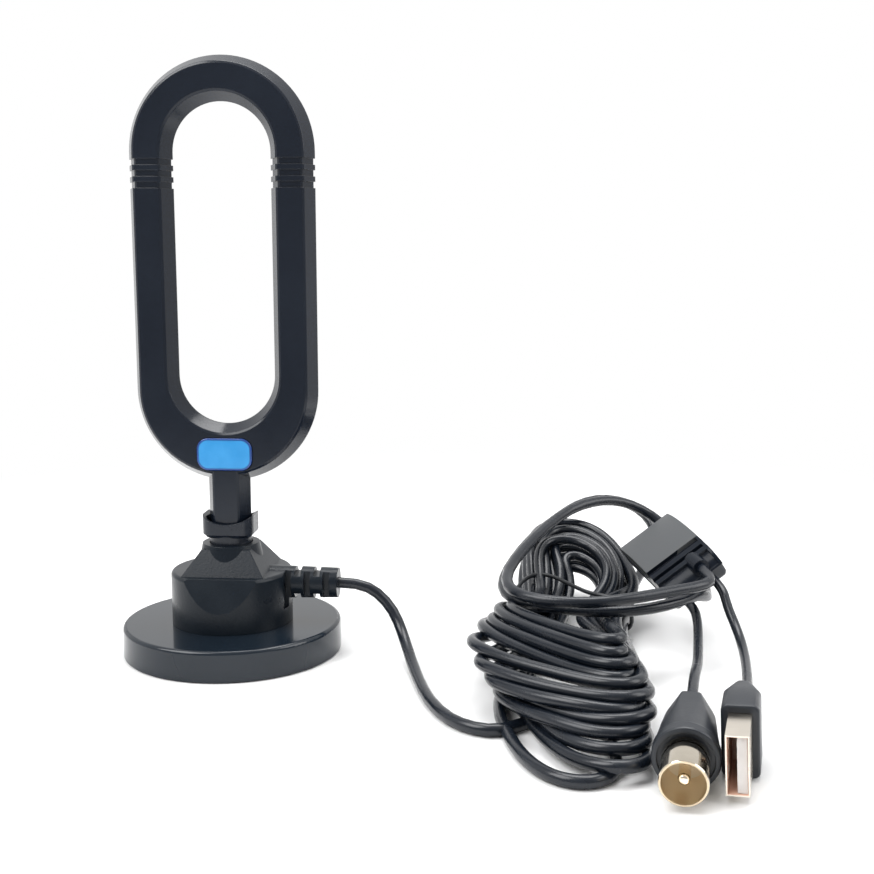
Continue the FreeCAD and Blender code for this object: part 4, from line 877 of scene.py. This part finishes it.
floorMesh.materials.append(floorMaterial)
studioFloor = bpy.data.objects.new("studioFloor", floorMesh)
studioFloor.location = (0.0, 0.0, floorLook["height"])
scene.collection.objects.link(studioFloor)

# dome for the light, white behind the object, and a darker front in reflections
worldLook = {
    "white": (1.0, 1.0, 1.0, 1.0), "dome": 0.55, "frontShade": 0.45, "frontFrom": 0.15, "frontTo": 0.8,
}
world = bpy.data.worlds.new("studioWorld")
scene.world = world
world.use_nodes = True
worldTree = world.node_tree
worldTree.nodes.clear()
worldOut = worldTree.nodes.new("ShaderNodeOutputWorld")
dome, backdrop, mirrored = [worldTree.nodes.new("ShaderNodeBackground") for i in range(3)]
for shader in (dome, backdrop, mirrored):
    shader.inputs["Color"].default_value = worldLook["white"]
dome.inputs["Strength"].default_value = worldLook["dome"]
worldPlace = worldTree.nodes.new("ShaderNodeTexCoord").outputs["Generated"]
worldSplit = worldTree.nodes.new("ShaderNodeSeparateXYZ")
worldTree.links.new(worldPlace, worldSplit.inputs["Vector"])
towardFront = mathNode(worldTree, "MULTIPLY", worldSplit.outputs["Y"], -1.0)
frontFade = rangeNode(
    worldTree, towardFront, worldLook["frontFrom"], worldLook["frontTo"],
    1.0, worldLook["frontShade"], smooth=True)
worldTree.links.new(frontFade, mirrored.inputs["Strength"])
worldPath = worldTree.nodes.new("ShaderNodeLightPath").outputs
mirrorSeen = mathNode(worldTree, "MAXIMUM", worldPath["Is Glossy Ray"], worldPath["Is Transmission Ray"])
around = mixShaders(worldTree, mirrorSeen, dome.outputs["Background"], mirrored.outputs["Background"])
view = mixShaders(worldTree, worldPath["Is Camera Ray"], around, backdrop.outputs["Background"])
worldTree.links.new(view, worldOut.inputs["Surface"])

lightLook = {
    "keyLight": {"place": (-0.55, -0.35, 0.85), "aim": (0.03, 0.0, 0.04), "size": (0.7, 0.7), "power": 9.0},
    "topLight": {"place": (0.1, 0.25, 1.0), "aim": (0.05, 0.0, 0.0), "size": (0.7, 0.5), "power": 7.0},
    "rightLight": {"place": (0.8, -0.1, 0.5), "aim": (0.06, 0.0, 0.04), "size": (0.5, 0.6), "power": 3.0},
}


def softbox(name, look):
    lamp = bpy.data.lights.new(name, "AREA")
    lamp.shape = "RECTANGLE"
    lamp.size, lamp.size_y = look["size"]
    lamp.energy = look["power"]
    holder = bpy.data.objects.new(name, lamp)
    scene.collection.objects.link(holder)
    holder.location = look["place"]
    direction = Vector(look["aim"]) - Vector(look["place"])
    holder.rotation_euler = direction.to_track_quat("-Z", "Y").to_euler()


for name, look in lightLook.items():
    softbox(name, look)
print("stage: floor and lights set")

# in front, looking slightly down and to the left
cameraView = {
    "place": (0.0782, -0.30345, 0.10251), "down": 8.46, "turn": 4.5, "sensor": 36.0, "lens": 49.43,
    "nearest": 0.01, "farthest": 50.0,
}
cameraData = bpy.data.cameras.new("camera")
cameraData.sensor_width = cameraView["sensor"]
cameraData.lens = cameraView["lens"]
cameraData.clip_start = cameraView["nearest"]
cameraData.clip_end = cameraView["farthest"]
camera = bpy.data.objects.new("camera", cameraData)
camera.location = cameraView["place"]
camera.rotation_euler = (math.radians(90.0 - cameraView["down"]), 0.0, math.radians(cameraView["turn"]))
scene.collection.objects.link(camera)
scene.camera = camera
print("stage: camera placed")
